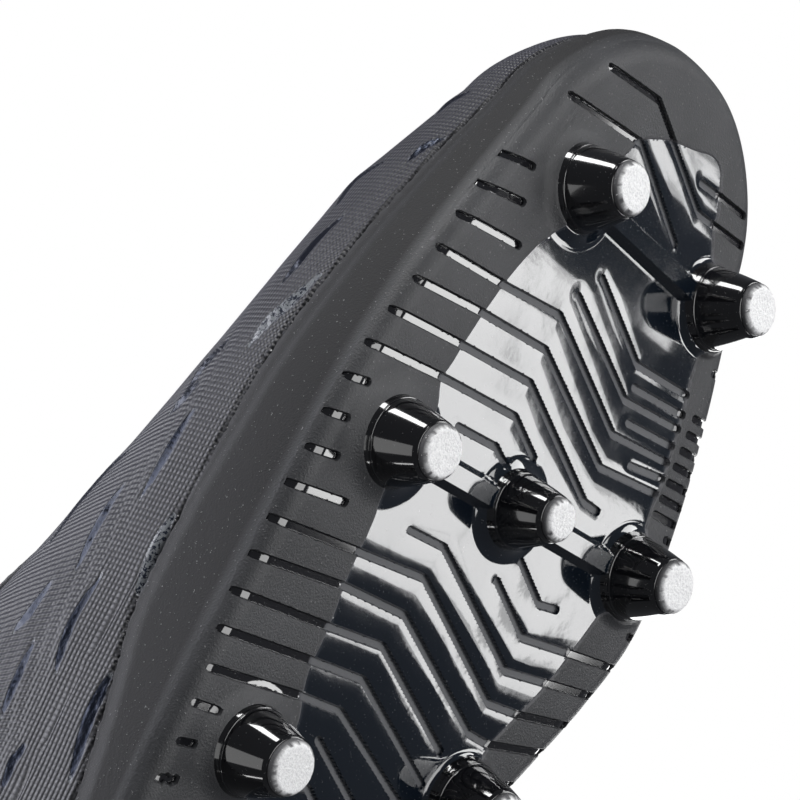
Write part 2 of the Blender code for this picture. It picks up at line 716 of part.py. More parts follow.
remove_everything()
PARTS = new_collection("soccer_cleat")
MATERIALS = {name: make_material(name) for name in COLOURS}
add_sole()
add_studs()
slab("insole_board", STIFFENER_DEPTH, BOARD_BOTTOM, BOARD_TOP, "board")
slab("sockliner", SOCKLINER_DEPTH, SOCKLINER_BOTTOM, SOCKLINER_TOP, "foam")
add_upper()
add_tongue()
add_eyestays()
punch_eyelets()
add_lace()
sockliner_toe = skin(1.5, 0.0, SOCKLINER_DEPTH)
set_pivot("sockliner", (sockliner_toe.x, TOE_CENTRE.y, sole_height(sockliner_toe.x) + SOCKLINER_BOTTOM))
tongue_base = side_u(TONGUE_BASE, False)
set_pivot("tongue", skin(tongue_base, 1.5, TONGUE_DEPTH + TONGUE_THICKNESS / 2))
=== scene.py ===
# %% [markdown]
# # A soccer cleat, seen from under the ball of the foot
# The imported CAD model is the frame: it fixes every size and place. This script builds the looks over
# it, piece by piece: the two-material sole with its channels, the turned studs, the embossed upper,
# then the soft parts. Shapes are worked out in millimetres in the boot's own plan frame, where x runs
# to the toe, y to the inner side and z up from the ground, and become metres when a mesh is made.

# %% Load the frame
import math

import bmesh
import bpy
import numpy as np
from mathutils import Matrix, Quaternion, Vector, kdtree, noise


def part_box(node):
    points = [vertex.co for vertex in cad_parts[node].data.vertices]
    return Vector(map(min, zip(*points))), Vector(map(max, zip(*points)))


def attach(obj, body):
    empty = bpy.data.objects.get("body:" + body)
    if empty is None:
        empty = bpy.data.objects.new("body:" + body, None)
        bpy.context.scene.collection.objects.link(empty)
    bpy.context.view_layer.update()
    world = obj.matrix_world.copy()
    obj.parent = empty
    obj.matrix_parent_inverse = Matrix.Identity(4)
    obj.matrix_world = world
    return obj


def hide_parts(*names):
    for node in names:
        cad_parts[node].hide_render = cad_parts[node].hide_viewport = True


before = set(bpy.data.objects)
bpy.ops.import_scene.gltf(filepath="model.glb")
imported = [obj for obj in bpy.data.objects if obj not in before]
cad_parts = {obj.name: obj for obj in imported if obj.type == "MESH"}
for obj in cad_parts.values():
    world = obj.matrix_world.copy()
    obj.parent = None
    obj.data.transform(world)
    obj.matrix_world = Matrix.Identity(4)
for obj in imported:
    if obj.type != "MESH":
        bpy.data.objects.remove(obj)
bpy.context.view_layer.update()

# %% [markdown]
# ## The plan frame
# The CAD frame has its origin in the middle of the footprint. A boot is drawn from the ball of the
# foot, so the plan frame's origin is there. A rear heel stud stands upright, so its box gives the
# shift between the two without any measuring.

# %% Plan frame to world
MM = 0.001
HEEL_STUD_PLAN = np.array((-170.0, -19.5, 0.0))
stud_low, stud_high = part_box("stud_heel_rear_outer")
stud_middle = ((stud_low.x + stud_high.x) / 2, (stud_low.y + stud_high.y) / 2, 0)
FOOTPRINT_CENTRE = HEEL_STUD_PLAN - np.array(stud_middle) / MM


def to_world(points):
    return (np.asarray(points, float) - FOOTPRINT_CENTRE) * MM


print("footprint centre in the plan frame", FOOTPRINT_CENTRE.round(2))

# %% [markdown]
# ## Camera
# The boot is seen from below and outside, from about 0.6 m, through a long lens: the outer side runs
# up the left of the view and the toe points up and to the right.

# %% Camera
CAMERA_PLACE = (-132.4, -447.4, -411.3)
CAMERA_RIGHT = Vector((0.480, 0.551, -0.683)).normalized()
CAMERA_FORWARD = Vector((0.220, 0.678, 0.702)).normalized()
FOCAL_LENGTH, SENSOR_WIDTH = 167.2, 36.0
NEAREST, FARTHEST = 0.01, 30.0

camera_data = bpy.data.cameras.new("camera")
camera_data.lens, camera_data.sensor_width = FOCAL_LENGTH, SENSOR_WIDTH
camera_data.clip_start, camera_data.clip_end = NEAREST, FARTHEST
camera = bpy.data.objects.new("camera", camera_data)
bpy.context.scene.collection.objects.link(camera)
camera_up = CAMERA_RIGHT.cross(CAMERA_FORWARD)
camera.matrix_world = (Matrix.Translation(to_world(CAMERA_PLACE))
                       @ Matrix((CAMERA_RIGHT, camera_up, -CAMERA_FORWARD)).transposed().to_4x4())
bpy.context.scene.camera = camera
print("camera at", to_world(CAMERA_PLACE).round(3), "m")

# %% [markdown]
# ## Light
# Glossy black moulding is lit by what it mirrors, so the light is a set of soft panels in a dim room.
# Area lights were chosen over an image of a studio, because their edges can be placed.

# %% Soft panels
def add_panel(name, place, width, height, radiance, tint=(1.0, 1.0, 1.0), roll=0.0, shift=(0.0, 0.0)):
    """Rectangular soft light facing the ball of the foot, rolled by degrees and shifted in its own plane."""
    data = bpy.data.lights.new(name, "AREA")
    data.shape = "RECTANGLE"
    data.size, data.size_y = width, height
    data.energy = radiance * math.pi * width * height
    data.color = tint
    item = bpy.data.objects.new(name, data)
    bpy.context.scene.collection.objects.link(item)
    facing = (place - BALL).to_track_quat("Z", "Y")
    item.rotation_mode = "QUATERNION"
    item.rotation_quaternion = facing @ Quaternion((0, 0, 1), math.radians(roll))
    item.location = place + item.rotation_quaternion @ Vector((*shift, 0.0))
    item.visible_camera = False


# %% [markdown]
# Four panels lie in one plane below, where the flat of the sole mirrors it towards the camera. The
# largest has its edge where the middle of the forefoot mirrors it: the outer half of the core shines
# and the inner half stays dark. A second widens it behind the ball, and two small ones give the short
# bright streaks near the toe studs. The rest lie where no flat of the core mirrors them: a broad one
# for the matt frame and the stud ends, three that draw bright lines down the cones and along the rim,
# and three more for the upper and the inner side.

# %% Place the panels
BALL = Vector(to_world((10.0, -8.0, 12.0)))
SOLE_PLACE, SOLE_ROLL = BALL + Vector((0.46, 0.66, -0.70)), -39.3
for name, shift, width, height, radiance in (
        ("sole_panel", (0.090, -0.017), 0.40, 0.266, 6.2),
        ("waist_panel", (0.1675, 0.156), 0.235, 0.078, 6.0),
        ("toe_sliver", (-0.143, 0.153), 0.060, 0.016, 6.0),
        ("toe_patch", (-0.290, 0.146), 0.060, 0.065, 5.0)):
    add_panel(name, SOLE_PLACE, width, height, radiance, roll=SOLE_ROLL, shift=shift)
for name, place, width, height, radiance in (
        ("under_panel", (0.30, -0.05, -1.2), 0.9, 0.8, 4.2),
        ("toe_panel", (1.05, 0.40, -0.42), 0.5, 0.5, 6.0),
        ("toe_strip", (0.88, -0.73, 0.26), 0.27, 0.9, 14.0),
        ("heel_strip", (-1.15, -0.26, 0.30), 0.07, 0.8, 6.0),
        ("side_panel", (-0.75, -1.0, 0.25), 0.7, 0.5, 1.3),
        ("inner_panel", (-0.1, 1.2, 0.5), 0.9, 0.7, 4.0)):
    add_panel(name, BALL + Vector(place), width, height, radiance)
add_panel("top_panel", BALL + Vector((-0.25, -0.55, 1.1)), 1.2, 1.0, 4.4, tint=(0.92, 0.93, 1.0))

# %% [markdown]
# The room is white to the camera and dim to everything else. Without that split, a white room would
# turn the black parts grey.

# %% Room
world = bpy.data.worlds.new("room")
bpy.context.scene.world = world
world.use_nodes = True
room = world.node_tree
ambient, backdrop = room.nodes["Background"], room.nodes.new("ShaderNodeBackground")
for shade, colour, strength in ((ambient, (0.75, 0.78, 0.85, 1), 0.12), (backdrop, (1, 1, 1, 1), 1.0)):
    shade.inputs["Color"].default_value = colour
    shade.inputs["Strength"].default_value = strength
seen = room.nodes.new("ShaderNodeLightPath")
either = room.nodes.new("ShaderNodeMixShader")
for k, source in enumerate((seen.outputs["Is Camera Ray"], ambient.outputs[0], backdrop.outputs[0])):
    room.links.new(source, either.inputs[k])
room.links.new(either.outputs[0], room.nodes["World Output"].inputs["Surface"])
bpy.context.scene.view_settings.view_transform = "Standard"

# %% [markdown]
# The floor is a plain pale sheet under the stud tips. This view looks up through it, so its own
# material is clear from below, and it is clear to light and mirrors too, so that it never shades the
# sole. From above it is a matt floor, which glows a little so that it stays pale far from the panels.

# %% Floor
FLOOR_HALF, FLOOR_LEVEL = 2.0, -0.0005
floor_mesh = bpy.data.meshes.new("floor")
floor_corners = [(i * FLOOR_HALF, j * FLOOR_HALF, FLOOR_LEVEL)
                 for i, j in ((-1, -1), (1, -1), (1, 1), (-1, 1))]
floor_mesh.from_pydata(floor_corners, [], [(0, 1, 2, 3)])
floor = bpy.data.objects.new("floor", floor_mesh)
bpy.context.scene.collection.objects.link(floor)
floor_look = bpy.data.materials.new("pale_floor")
floor_look.use_nodes = True
tree = floor_look.node_tree
matt = tree.nodes["Principled BSDF"]
matt.inputs["Base Color"].default_value = (0.42, 0.42, 0.41, 1)
matt.inputs["Emission Color"].default_value = (1.0, 1.0, 0.99, 1)
matt.inputs["Emission Strength"].default_value = 0.42
matt.inputs["Roughness"].default_value = 0.8
clear = tree.nodes.new("ShaderNodeBsdfTransparent")
side = tree.nodes.new("ShaderNodeNewGeometry")
path = tree.nodes.new("ShaderNodeLightPath")
front = tree.nodes.new("ShaderNodeMath")
front.operation, front.use_clamp = "SUBTRACT", True
which = tree.nodes.new("ShaderNodeMixShader")
for source, target in ((path.outputs["Is Camera Ray"], front.inputs[0]),
                       (side.outputs["Backfacing"], front.inputs[1]),
                       (front.outputs[0], which.inputs[0]), (clear.outputs[0], which.inputs[1]),
                       (matt.outputs[0], which.inputs[2]),
                       (which.outputs[0], tree.nodes["Material Output"].inputs["Surface"])):
    tree.links.new(source, target)
floor_mesh.materials.append(floor_look)

# %% [markdown]
# ## The last's shape
# A boot is lasted: every layer of the upper is the same curved form, one inside another. The form is
# given by a few curves, the same ones the CAD part was drawn with: the plan outline, the height of
# the sole, of the widest line and of the crown. Any layer is then a depth inside that form.

# %% Curves of the boot
PLATE_UNDERSIDE = 12.1
TOE_SPRING_START, TOE_SPRING_CURVE = -27.2, 0.00123
HEEL_LIFT, HEEL_LIFT_START, HEEL_LIFT_END = 3.0, -75.0, -120.0
TOE_X, TOE_Y, HEEL_X, HEEL_Y = 62.0, 0.0, -160.0, -4.75
TOE_RADIUS = [(-90, 33.5), (-60, 28.8), (-30, 27.9), (0, 29.5), (30, 32.6), (60, 33.3), (90, 33.5)]
HEEL_REACH, HEEL_SPREAD = 33.0, -2.75
OUTER_EDGE = [(-160, -35), (-125, -38.5), (-95, -44), (-65, -48.2), (-35, -50.2),
              (-5, -51.3), (20, -48), (40, -42), (62, -33.5)]
INNER_EDGE = [(-160, 25.5), (-125, 21.5), (-95, 21), (-65, 26), (-40, 33.5),
              (-20, 40.4), (-3, 44.3), (20, 42), (40, 38.3), (62, 33.5)]
CROWN = [(-160, 135), (-110, 130), (-92, 114), (-80, 106), (-60, 94), (-40, 85),
         (-20, 77), (0, 70.3), (20, 67), (40, 65.8), (62, 58.6)]
SHOULDER = [(-160, 24), (-60, 22), (0, 14), (62, 10), (90, 8)]
SIDEWALL_HEIGHT = [(-193, 14), (-85, 13.5), (-65, 16.5), (-48, 20.5), (-10, 20.5), (4, 19.5),
                   (20, 17.5), (44, 15.5), (64, 13), (92, 12)]
ROUNDNESS, BASE_TUCK, SKIN_LIFT = 2.4, 0.03, 3.0
CROWN_V, NEAR_CROWN_V, SLOPE_STEP = 1.5, 1.499, 0.004


def through(points, x):
    """Smooth curve through a few (x, value) points, for one x or an array of them."""
    xs, ys = np.array(points, float).T
    slopes = np.empty_like(xs)
    slopes[1:-1] = (ys[2:] - ys[:-2]) / (xs[2:] - xs[:-2])
    slopes[0], slopes[-1] = (ys[1] - ys[0]) / (xs[1] - xs[0]), (ys[-1] - ys[-2]) / (xs[-1] - xs[-2])
    x = np.clip(x, xs[0], xs[-1])
    i = np.clip(np.searchsorted(xs, x, side="right") - 1, 0, len(xs) - 2)
    span = xs[i + 1] - xs[i]
    t = (x - xs[i]) / span
    return ((2 * t**3 - 3 * t**2 + 1) * ys[i] + (t**3 - 2 * t**2 + t) * span * slopes[i]
            + (3 * t**2 - 2 * t**3) * ys[i + 1] + (t**3 - t**2) * span * slopes[i + 1])


def ease(value, low, high):
    """0 below low, 1 above high, smooth between."""
    t = np.clip((value - low) / (high - low), 0.0, 1.0)
    return t * t * (3 - 2 * t)


def unit(vectors):
    return vectors / np.linalg.norm(vectors, axis=-1, keepdims=True)


def run_along(points):
    """Distance along a line of points at each of them."""
    return np.concatenate([[0], np.cumsum(np.linalg.norm(np.diff(points, axis=0), axis=1))])


def even_points(points, spacing, first=0.0):
    """Points at even distances along a line of points."""
    run = run_along(points)
    even = np.arange(first, run[-1], spacing)
    return np.stack([np.interp(even, run, points[:, k]) for k in range(points.shape[1])], 1)


def spline(before, start, end, after, t):
    """Smooth curve from start to end, where t is 0 to 1, that heads for the points on either side."""
    bend = 2 * before - 5 * start + 4 * end - after
    twist = 3 * start - before - 3 * end + after
    return 0.5 * (2 * start + (end - before) * t + bend * t**2 + twist * t**3)


def sole_height(x):
    spring = TOE_SPRING_CURVE * np.maximum(x - TOE_SPRING_START, 0.0) ** 2
    return PLATE_UNDERSIDE + spring + HEEL_LIFT * ease(-x, -HEEL_LIFT_START, -HEEL_LIFT_END)


def perimeter(u):
    """Outline point and the centre-line point it faces; u runs 0-4 over outer side, toe, inner side, heel."""
    u = np.asarray(u, float) % 4.0
    leg = np.minimum(np.floor(u), 3)
    t = u - leg
    x = HEEL_X + np.where(leg == 0, t, 1 - t) * (TOE_X - HEEL_X)
    outer, inner = through(OUTER_EDGE, x), through(INNER_EDGE, x)
    angle = np.pi * np.where(leg == 1, t - 0.5, t + 0.5)
    heel_radius = HEEL_REACH + HEEL_SPREAD * np.sin(angle) ** 2
    radius = np.where(leg == 1, through(TOE_RADIUS, np.degrees(angle)), heel_radius)
    side = (leg == 0) | (leg == 2)
    centre_x = np.where(leg == 1, TOE_X, HEEL_X)
    centre_y = np.where(leg == 1, TOE_Y, HEEL_Y)
    base = np.stack([np.where(side, x, centre_x + radius * np.cos(angle)),
                     np.where(side, np.where(leg == 0, outer, inner), centre_y + radius * np.sin(angle))], -1)
    spine = np.stack([np.where(side, x, centre_x), np.where(side, (outer + inner) / 2, centre_y)], -1)
    return base, spine


def side_u(x, inner=False):
    """u on the outer or the inner side at a place along the boot."""
    t = (x - HEEL_X) / (TOE_X - HEEL_X)
    return 3.0 - t if inner else t


def levels(base, spine):
    """Heights of the skin's bottom, widest line and crown."""
    bottom = sole_height(base[..., 0]) + SKIN_LIFT
    return bottom, bottom + through(SHOULDER, base[..., 0]), through(CROWN, spine[..., 0])


def skin_surface(u, v):
    """Outside of the boot: v 0 is its base, 0.5 its widest line and 1.5 its crown."""
    base, spine = perimeter(u)
    bottom, widest, crown = levels(base, spine)
    angle = np.clip(v - 0.5, 0.0, 1.0) * np.pi / 2
    low = v < 0.5
    reach = np.where(low, 1 - BASE_TUCK * (1 - 2 * v) ** 2, np.maximum(np.cos(angle), 0.0) ** (2 / ROUNDNESS))
    height = np.where(low, bottom + 2 * v * (widest - bottom),
                      widest + (crown - widest) * np.sin(angle) ** (2 / ROUNDNESS))
    plan = spine + (base - spine) * reach[..., None]
    return np.concatenate([plan, height[..., None]], -1)


def skin(u, v, depth=0.0):
    """Points at a depth inside the outside face; u, v and depth are arrays that fit each other."""
    u, v, depth = np.broadcast_arrays(np.asarray(u, float), np.asarray(v, float), np.asarray(depth, float))
    above, below = np.minimum(v + SLOPE_STEP, CROWN_V), np.maximum(v - SLOPE_STEP, 0.0)
    along = skin_surface(u + SLOPE_STEP, v) - skin_surface(u - SLOPE_STEP, v)
    up = skin_surface(u, above) - skin_surface(u, below)
    normal = np.cross(along, up)
    spine_x = perimeter(u)[1][..., 0]
    slope = (through(CROWN, spine_x + 1) - through(CROWN, spine_x - 1)) / 2
    top = np.stack([-slope, np.zeros_like(slope), np.ones_like(slope)], -1)
    normal = np.where((v >= NEAR_CROWN_V)[..., None], top, normal)
    normal /= np.linalg.norm(normal, axis=-1, keepdims=True) + 1e-12
    return skin_surface(u, v) - normal * depth[..., None]


def v_at_height(u, height):
    """v where the surface is at a height above the ground."""
    bottom, widest, crown = levels(*perimeter(u))
    share = np.clip((height - widest) / (crown - widest), 0, 1)
    return np.where(height < widest, np.maximum(0.5 * (height - bottom) / (widest - bottom), 0.0),
                    0.5 + np.arcsin(share ** (ROUNDNESS / 2)) * 2 / np.pi)


def v_at_offset(u, offset):
    """v where the surface is offset sideways from the centre line."""
    base, spine = perimeter(u)
    share = np.clip(offset / np.linalg.norm(base - spine, axis=-1), 0, 1)
    return 0.5 + np.arccos(share ** (ROUNDNESS / 2)) * 2 / np.pi


OUTLINE_POINTS = 2400
outline = perimeter(np.linspace(0, 4, OUTLINE_POINTS, endpoint=False))[0]
print("outline", outline.min(0).round(1), outline.max(0).round(1), "mm")

# %% [markdown]
# ## From numbers to meshes
# The sole and upper are grids of many thousand points, so they are made as arrays and handed to
# Blender once. clip() cuts a triangle mesh along the zero line of any value held at its points. It
# splits the sole between its two materials and opens the eyelets, with clean edges and no Boolean.

# %% Mesh helpers
def clip(rows, triangles, field):
    """Keeps the part of a triangle mesh where field is above zero; each row holds a point and its values."""
    inside = field > 0
    count = inside[triangles].sum(1)
    parts, cut_from, cut_to, crossed = [triangles[count == 3]], [], [], []
    for wanted, lone in ((1, True), (2, False)):
        some = triangles[count == wanted]
        k = np.argmax(inside[some] == lone, 1)
        pick = np.arange(len(some))
        a, b, c = (some[pick, (k + j) % 3] for j in range(3))
        crossed.append((lone, a, b, c))
        cut_from += [a, a]
        cut_to += [b, c]
    ends = np.sort(np.stack([np.concatenate(cut_from), np.concatenate(cut_to)], 1), 1)
    unique, index = np.unique(ends, axis=0, return_inverse=True)
    index = index.reshape(-1) + len(rows)
    share = (field[unique[:, 0]] / (field[unique[:, 0]] - field[unique[:, 1]]))[:, None]
    rows = np.concatenate([rows, rows[unique[:, 0]] * (1 - share) + rows[unique[:, 1]] * share])
    start = 0
    for lone, a, b, c in crossed:
        ab, ac = index[start:start + len(a)], index[start + len(a):start + 2 * len(a)]
        start += 2 * len(a)
        if lone:
            parts.append(np.stack([a, ab, ac], 1))
        else:
            parts += [np.stack([ab, b, c], 1), np.stack([ab, c, ac], 1)]
    return prune(rows, np.concatenate(parts))


def prune(rows, faces):
    """Drops the rows that no face uses."""
    used, faces_used = np.unique(faces, return_inverse=True)
    return rows[used], faces_used.reshape(faces.shape)


def grid_faces(across, along, closed=False):
    """Quads over points stored as across rows of along points."""
    i, j = np.meshgrid(np.arange(across if closed else across - 1), np.arange(along - 1), indexing="ij")
    here, there = i * along + j, ((i + 1) % across) * along + j
    return np.stack([here, there, there + 1, here + 1], -1).reshape(-1, 4)


def halved(quads):
    return np.concatenate([quads[:, [0, 1, 2]], quads[:, [0, 2, 3]]])


def add_piece(name, points, faces, look, node=None, body="boot", slot=None, values=None, weld=0.0, smooth=40):
    """Mesh piece from points in plan millimetres, riding a body and standing for a CAD node."""
    mesh = bpy.data.meshes.new(name)
    faces = faces.tolist() if isinstance(faces, np.ndarray) else faces
    mesh.from_pydata(to_world(points).tolist(), [], faces)
    for key, value in (values or {}).items():
        kind, field = ("FLOAT_VECTOR", "vector") if value.ndim == 2 else ("FLOAT", "value")
        layer = mesh.attributes.new(key, kind, "POINT")
        layer.data.foreach_set(field, np.ascontiguousarray(value, np.float32).ravel())
    if weld:
        work = bmesh.new()
        work.from_mesh(mesh)
        bmesh.ops.remove_doubles(work, verts=work.verts, dist=weld * MM)
        work.to_mesh(mesh)
        work.free()
    mesh.shade_smooth()
    if smooth:
        mesh.set_sharp_from_angle(angle=math.radians(smooth))
    mesh.materials.append(look)
    item = bpy.data.objects.new(name, mesh)
    bpy.context.scene.collection.objects.link(item)
    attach(item, body)
    if node:
        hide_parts(*([node] if isinstance(node, str) else node))
    print(f"{name}: {len(mesh.polygons)} faces")
    return item

# %% [markdown]
# ## Shared surface effects
# Grain, weave and handling wear show up on several finishes, at different scales. Each is a shader
# node group built once, with its scale and strength as named inputs, so one lesson serves them all.
# They hand back heights, masks and tones, and each material decides what those drive.

# %% Node helpers
def new_group(name, inputs, outputs):
    """Empty node group with named sockets; returns the tree, its input node and its output node."""
    group = bpy.data.node_groups.new(name, "ShaderNodeTree")
    for label, kind, value in inputs:
        socket = group.interface.new_socket(label, in_out="INPUT", socket_type=kind)
        if value is not None:
            socket.default_value = value
    for label in outputs:
        group.interface.new_socket(label, in_out="OUTPUT", socket_type="NodeSocketFloat")
    return group, group.nodes.new("NodeGroupInput"), group.nodes.new("NodeGroupOutput")


def wire(group, source, target):
    if isinstance(source, (int, float)):
        target.default_value = source
    else:
        group.links.new(source, target)


def maths(group, operation, first, second=0.0, third=None, clamp=False):
    node = group.nodes.new("ShaderNodeMath")
    node.operation, node.use_clamp = operation, clamp
    wire(group, first, node.inputs[0])
    wire(group, second, node.inputs[1])
    if third is not None:
        wire(group, third, node.inputs[2])
    return node.outputs[0]


def noise_of(group, place, scale, detail=2.0, roughness=0.5):
    node = group.nodes.new("ShaderNodeTexNoise")
    group.links.new(place, node.inputs["Vector"])
    wire(group, scale, node.inputs["Scale"])
    node.inputs["Detail"].default_value = detail
    node.inputs["Roughness"].default_value = roughness
    return node.outputs["Fac"]


# %% Grain
PLACE = ("Place", "NodeSocketVector", None)
grain, given, out = new_group("grain", [PLACE, ("Scale", "NodeSocketFloat", 900.0)], ["Height", "Tone"])
fine = noise_of(grain, given.outputs["Place"], given.outputs["Scale"], 3.0, 0.6)
broad = noise_of(grain, given.outputs["Place"], maths(grain, "MULTIPLY", given.outputs["Scale"], 0.03), 4.0)
grain.links.new(fine, out.inputs["Height"])
grain.links.new(broad, out.inputs["Tone"])

# %% [markdown]
# Handling wear is a light rub on raised edges and a scatter of fine dust. The rub comes from how
# sharply the surface bends, broken up by noise, so it never runs as an even outline.

# %% Wear
wear_inputs = [PLACE, ("Edge", "NodeSocketFloat", 0.53), ("Dust", "NodeSocketFloat", 0.2)]
wear, given, out = new_group("wear", wear_inputs, ["Rub", "Dust"])
bend = wear.nodes.new("ShaderNodeNewGeometry")
over_edge = maths(wear, "SUBTRACT", bend.outputs["Pointiness"], given.outputs["Edge"])
sharp = maths(wear, "MULTIPLY", over_edge, 9.0, clamp=True)
patchy = noise_of(wear, given.outputs["Place"], 260.0, 3.0, 0.7)
wear.links.new(maths(wear, "MULTIPLY", sharp, patchy), out.inputs["Rub"])
speck = noise_of(wear, given.outputs["Place"], 2600.0, 1.0)
strewn = maths(wear, "GREATER_THAN", speck, 0.74)
wear.links.new(maths(wear, "MULTIPLY", strewn, given.outputs["Dust"]), out.inputs["Dust"])

# %% [markdown]
# A weave is two sets of rounded threads that take turns on top. Two sine waves a quarter turn out of
# step give that from a place measured along and across the cloth in millimetres.

# %% Weave
weave, given, out = new_group("weave", [PLACE, ("Pitch", "NodeSocketFloat", 0.6)], ["Height", "Tone"])
split = weave.nodes.new("ShaderNodeSeparateXYZ")
weave.links.new(given.outputs["Place"], split.inputs[0])
turns = maths(weave, "DIVIDE", math.tau, given.outputs["Pitch"])
warp = maths(weave, "SINE", maths(weave, "MULTIPLY", split.outputs["X"], turns))
weft = maths(weave, "SINE", maths(weave, "MULTIPLY", split.outputs["Y"], turns))
over = maths(weave, "MULTIPLY", warp, weft)
ribs = maths(weave, "ABSOLUTE", maths(weave, "ADD", warp, weft))
height = maths(weave, "MULTIPLY_ADD", over, 0.5, maths(weave, "MULTIPLY", ribs, 0.25))
weave.links.new(height, out.inputs["Height"])
weave.links.new(maths(weave, "MULTIPLY_ADD", over, 0.5, 0.5), out.inputs["Tone"])
print("node groups", [g.name for g in (grain, wear, weave)])


# %% Material helpers
def new_look(name, colour, roughness, **sockets):
    """Material with a Principled shader whose even values are set on its own sockets."""
    look = bpy.data.materials.new(name)
    look.use_nodes = True
    shader = look.node_tree.nodes["Principled BSDF"]
    shader.inputs["Base Color"].default_value = (*colour, 1)
    shader.inputs["Roughness"].default_value = roughness
    for label, value in sockets.items():
        shader.inputs[label.replace("_", " ")].default_value = value
    return look, look.node_tree, shader


def use_group(tree, group, place, **values):
    node = tree.nodes.new("ShaderNodeGroup")
    node.node_tree = group
    tree.links.new(place, node.inputs["Place"])
    for label, value in values.items():
        node.inputs[label].default_value = value
    return node.outputs


def object_place(tree):
    return tree.nodes.new("ShaderNodeTexCoord").outputs["Object"]


def worn_look(name, colour, roughness, scale, edge, dust, **sockets):
    """Material with its place, its grain at a scale and its handling wear."""
    look, tree, shader = new_look(name, colour, roughness, **sockets)
    place = object_place(tree)
    return (look, tree, shader, place, use_group(tree, grain, place, Scale=scale),
            use_group(tree, wear, place, Edge=edge, Dust=dust))


def held(tree, name, output="Fac"):
    """Value that the mesh holds at its points."""
    node = tree.nodes.new("ShaderNodeAttribute")
    node.attribute_name = name
    return node.outputs[output]


def blend_colour(tree, share, first, second):
    node = tree.nodes.new("ShaderNodeMix")
    node.data_type = "RGBA"
    wire(tree, share, node.inputs["Factor"])
    for value, socket in ((first, node.inputs["A"]), (second, node.inputs["B"])):
        if isinstance(value, tuple):
            socket.default_value = (*value, 1)
        else:
            tree.links.new(value, socket)
    return node.outputs["Result"]


def drive(shader, **values):
    """Links a value to each named socket of a shader."""
    for label, value in values.items():
        shader.id_data.links.new(value, shader.inputs[label.replace("_", " ")])


def bump(tree, shader, height, distance, strength=1.0):
    node = tree.nodes.new("ShaderNodeBump")
    node.inputs["Strength"].default_value = strength
    node.inputs["Distance"].default_value = distance
    tree.links.new(height, node.inputs["Height"])
    tree.links.new(node.outputs["Normal"], shader.inputs["Normal"])


def ramp(tree, value, low, high, from_low=0.0, from_high=1.0):
    node = tree.nodes.new("ShaderNodeMapRange")
    wire(tree, value, node.inputs["Value"])
    node.inputs["From Min"].default_value, node.inputs["From Max"].default_value = from_low, from_high
    node.inputs["To Min"].default_value, node.inputs["To Max"].default_value = low, high
    return node.outputs["Result"]


# %% [markdown]
# ## The sole
# One moulding is shot in two materials. A glossy blue-black core runs down the middle and carries the
# studs, and a fine-grained matt frame wraps round it and up the side. Chevron channels are cut across
# both. Channels, stud flares, ribs and the step between the materials are all one height over the
# plan, so the sole is made as a height field, fine enough to hold a 1.6 mm channel.

# %% Studs and the border of the core
STUDS = {
    "toe_outer": (52.4, -18.5, 7.5, 4.67, 10.5), "toe_inner": (53.8, 24.6, 7.5, 4.67, 8.9),
    "ball_outer": (-5.5, -34.9, 7.5, 4.67, 11.5), "ball_centre": (-0.8, -2.4, 6.5, 3.78, 9.5),
    "ball_inner": (4.0, 32.0, 7.5, 4.67, 9.6), "waist_outer": (-60.7, -30.1, 7.5, 4.67, 11.0),
    "waist_inner": (-46.5, 20.5, 7.5, 4.67, 8.9), "heel_front_outer": (-134.0, -24.0, 8.0, 4.9, 11.0),
    "heel_front_inner": (-134.0, 10.0, 8.0, 4.9, 10.0), "heel_rear_outer": (-170.0, -19.5, 8.0, 4.9, 11.0),
    "heel_rear_inner": (-170.0, 8.0, 8.0, 4.9, 11.0)}
BORDER_SPACING, NEAR_LINE = 0.25, 2.0
RIBS = [("ball_outer", "ball_centre"), ("ball_centre", "ball_inner"), ("toe_outer", "toe_inner")]
CORE_BORDER = [
    (-176, -13), (-164, -23), (-150, -27), (-128, -27), (-96, -23), (-72, -23), (-60, -30), (-54, -22.5),
    (-45, -26), (-36, -27.2), (-28, -29), (-20, -29.8), (-15, -31), (-8, -35.5), (-2, -34.5), (3, -29),
    (8, -30.8), (12, -30.3), (20, -29), (30, -26.5), (38, -23.3), (44, -19.8), (52, -18.5), (58, -14),
    (62.5, -11), (68, -8), (71, -4), (73.5, 1), (75.5, 7), (77.5, 12.5), (76.8, 15.5), (74, 17), (70, 18.5),
    (66, 19), (61, 21.5), (54, 25), (48.5, 26.5), (42, 26.7), (38, 27.5), (30, 29), (22, 30.2), (17, 30.5),
    (11, 31.5), (4, 33), (-4, 30), (-9, 28.7), (-14, 27.5), (-20, 26), (-27.5, 23.3), (-35, 20.5), (-41, 20),
    (-47, 20.5), (-52, 16.5), (-60, 11), (-72, 6), (-96, 4), (-128, 13), (-150, 16), (-168, 13), (-176, 4)]


def closed_curve(points, spacing):
    """Even points along a smooth closed curve through the given ones."""
    here = np.array(points, float)
    before, end, after = np.roll(here, 1, 0), np.roll(here, -1, 0), np.roll(here, -2, 0)
    t = np.linspace(0, 1, 40, endpoint=False)[None, :, None]
    dense = spline(before[:, None], here[:, None], end[:, None], after[:, None], t).reshape(-1, 2)
    return even_points(np.concatenate([dense, dense[:1]]), spacing)


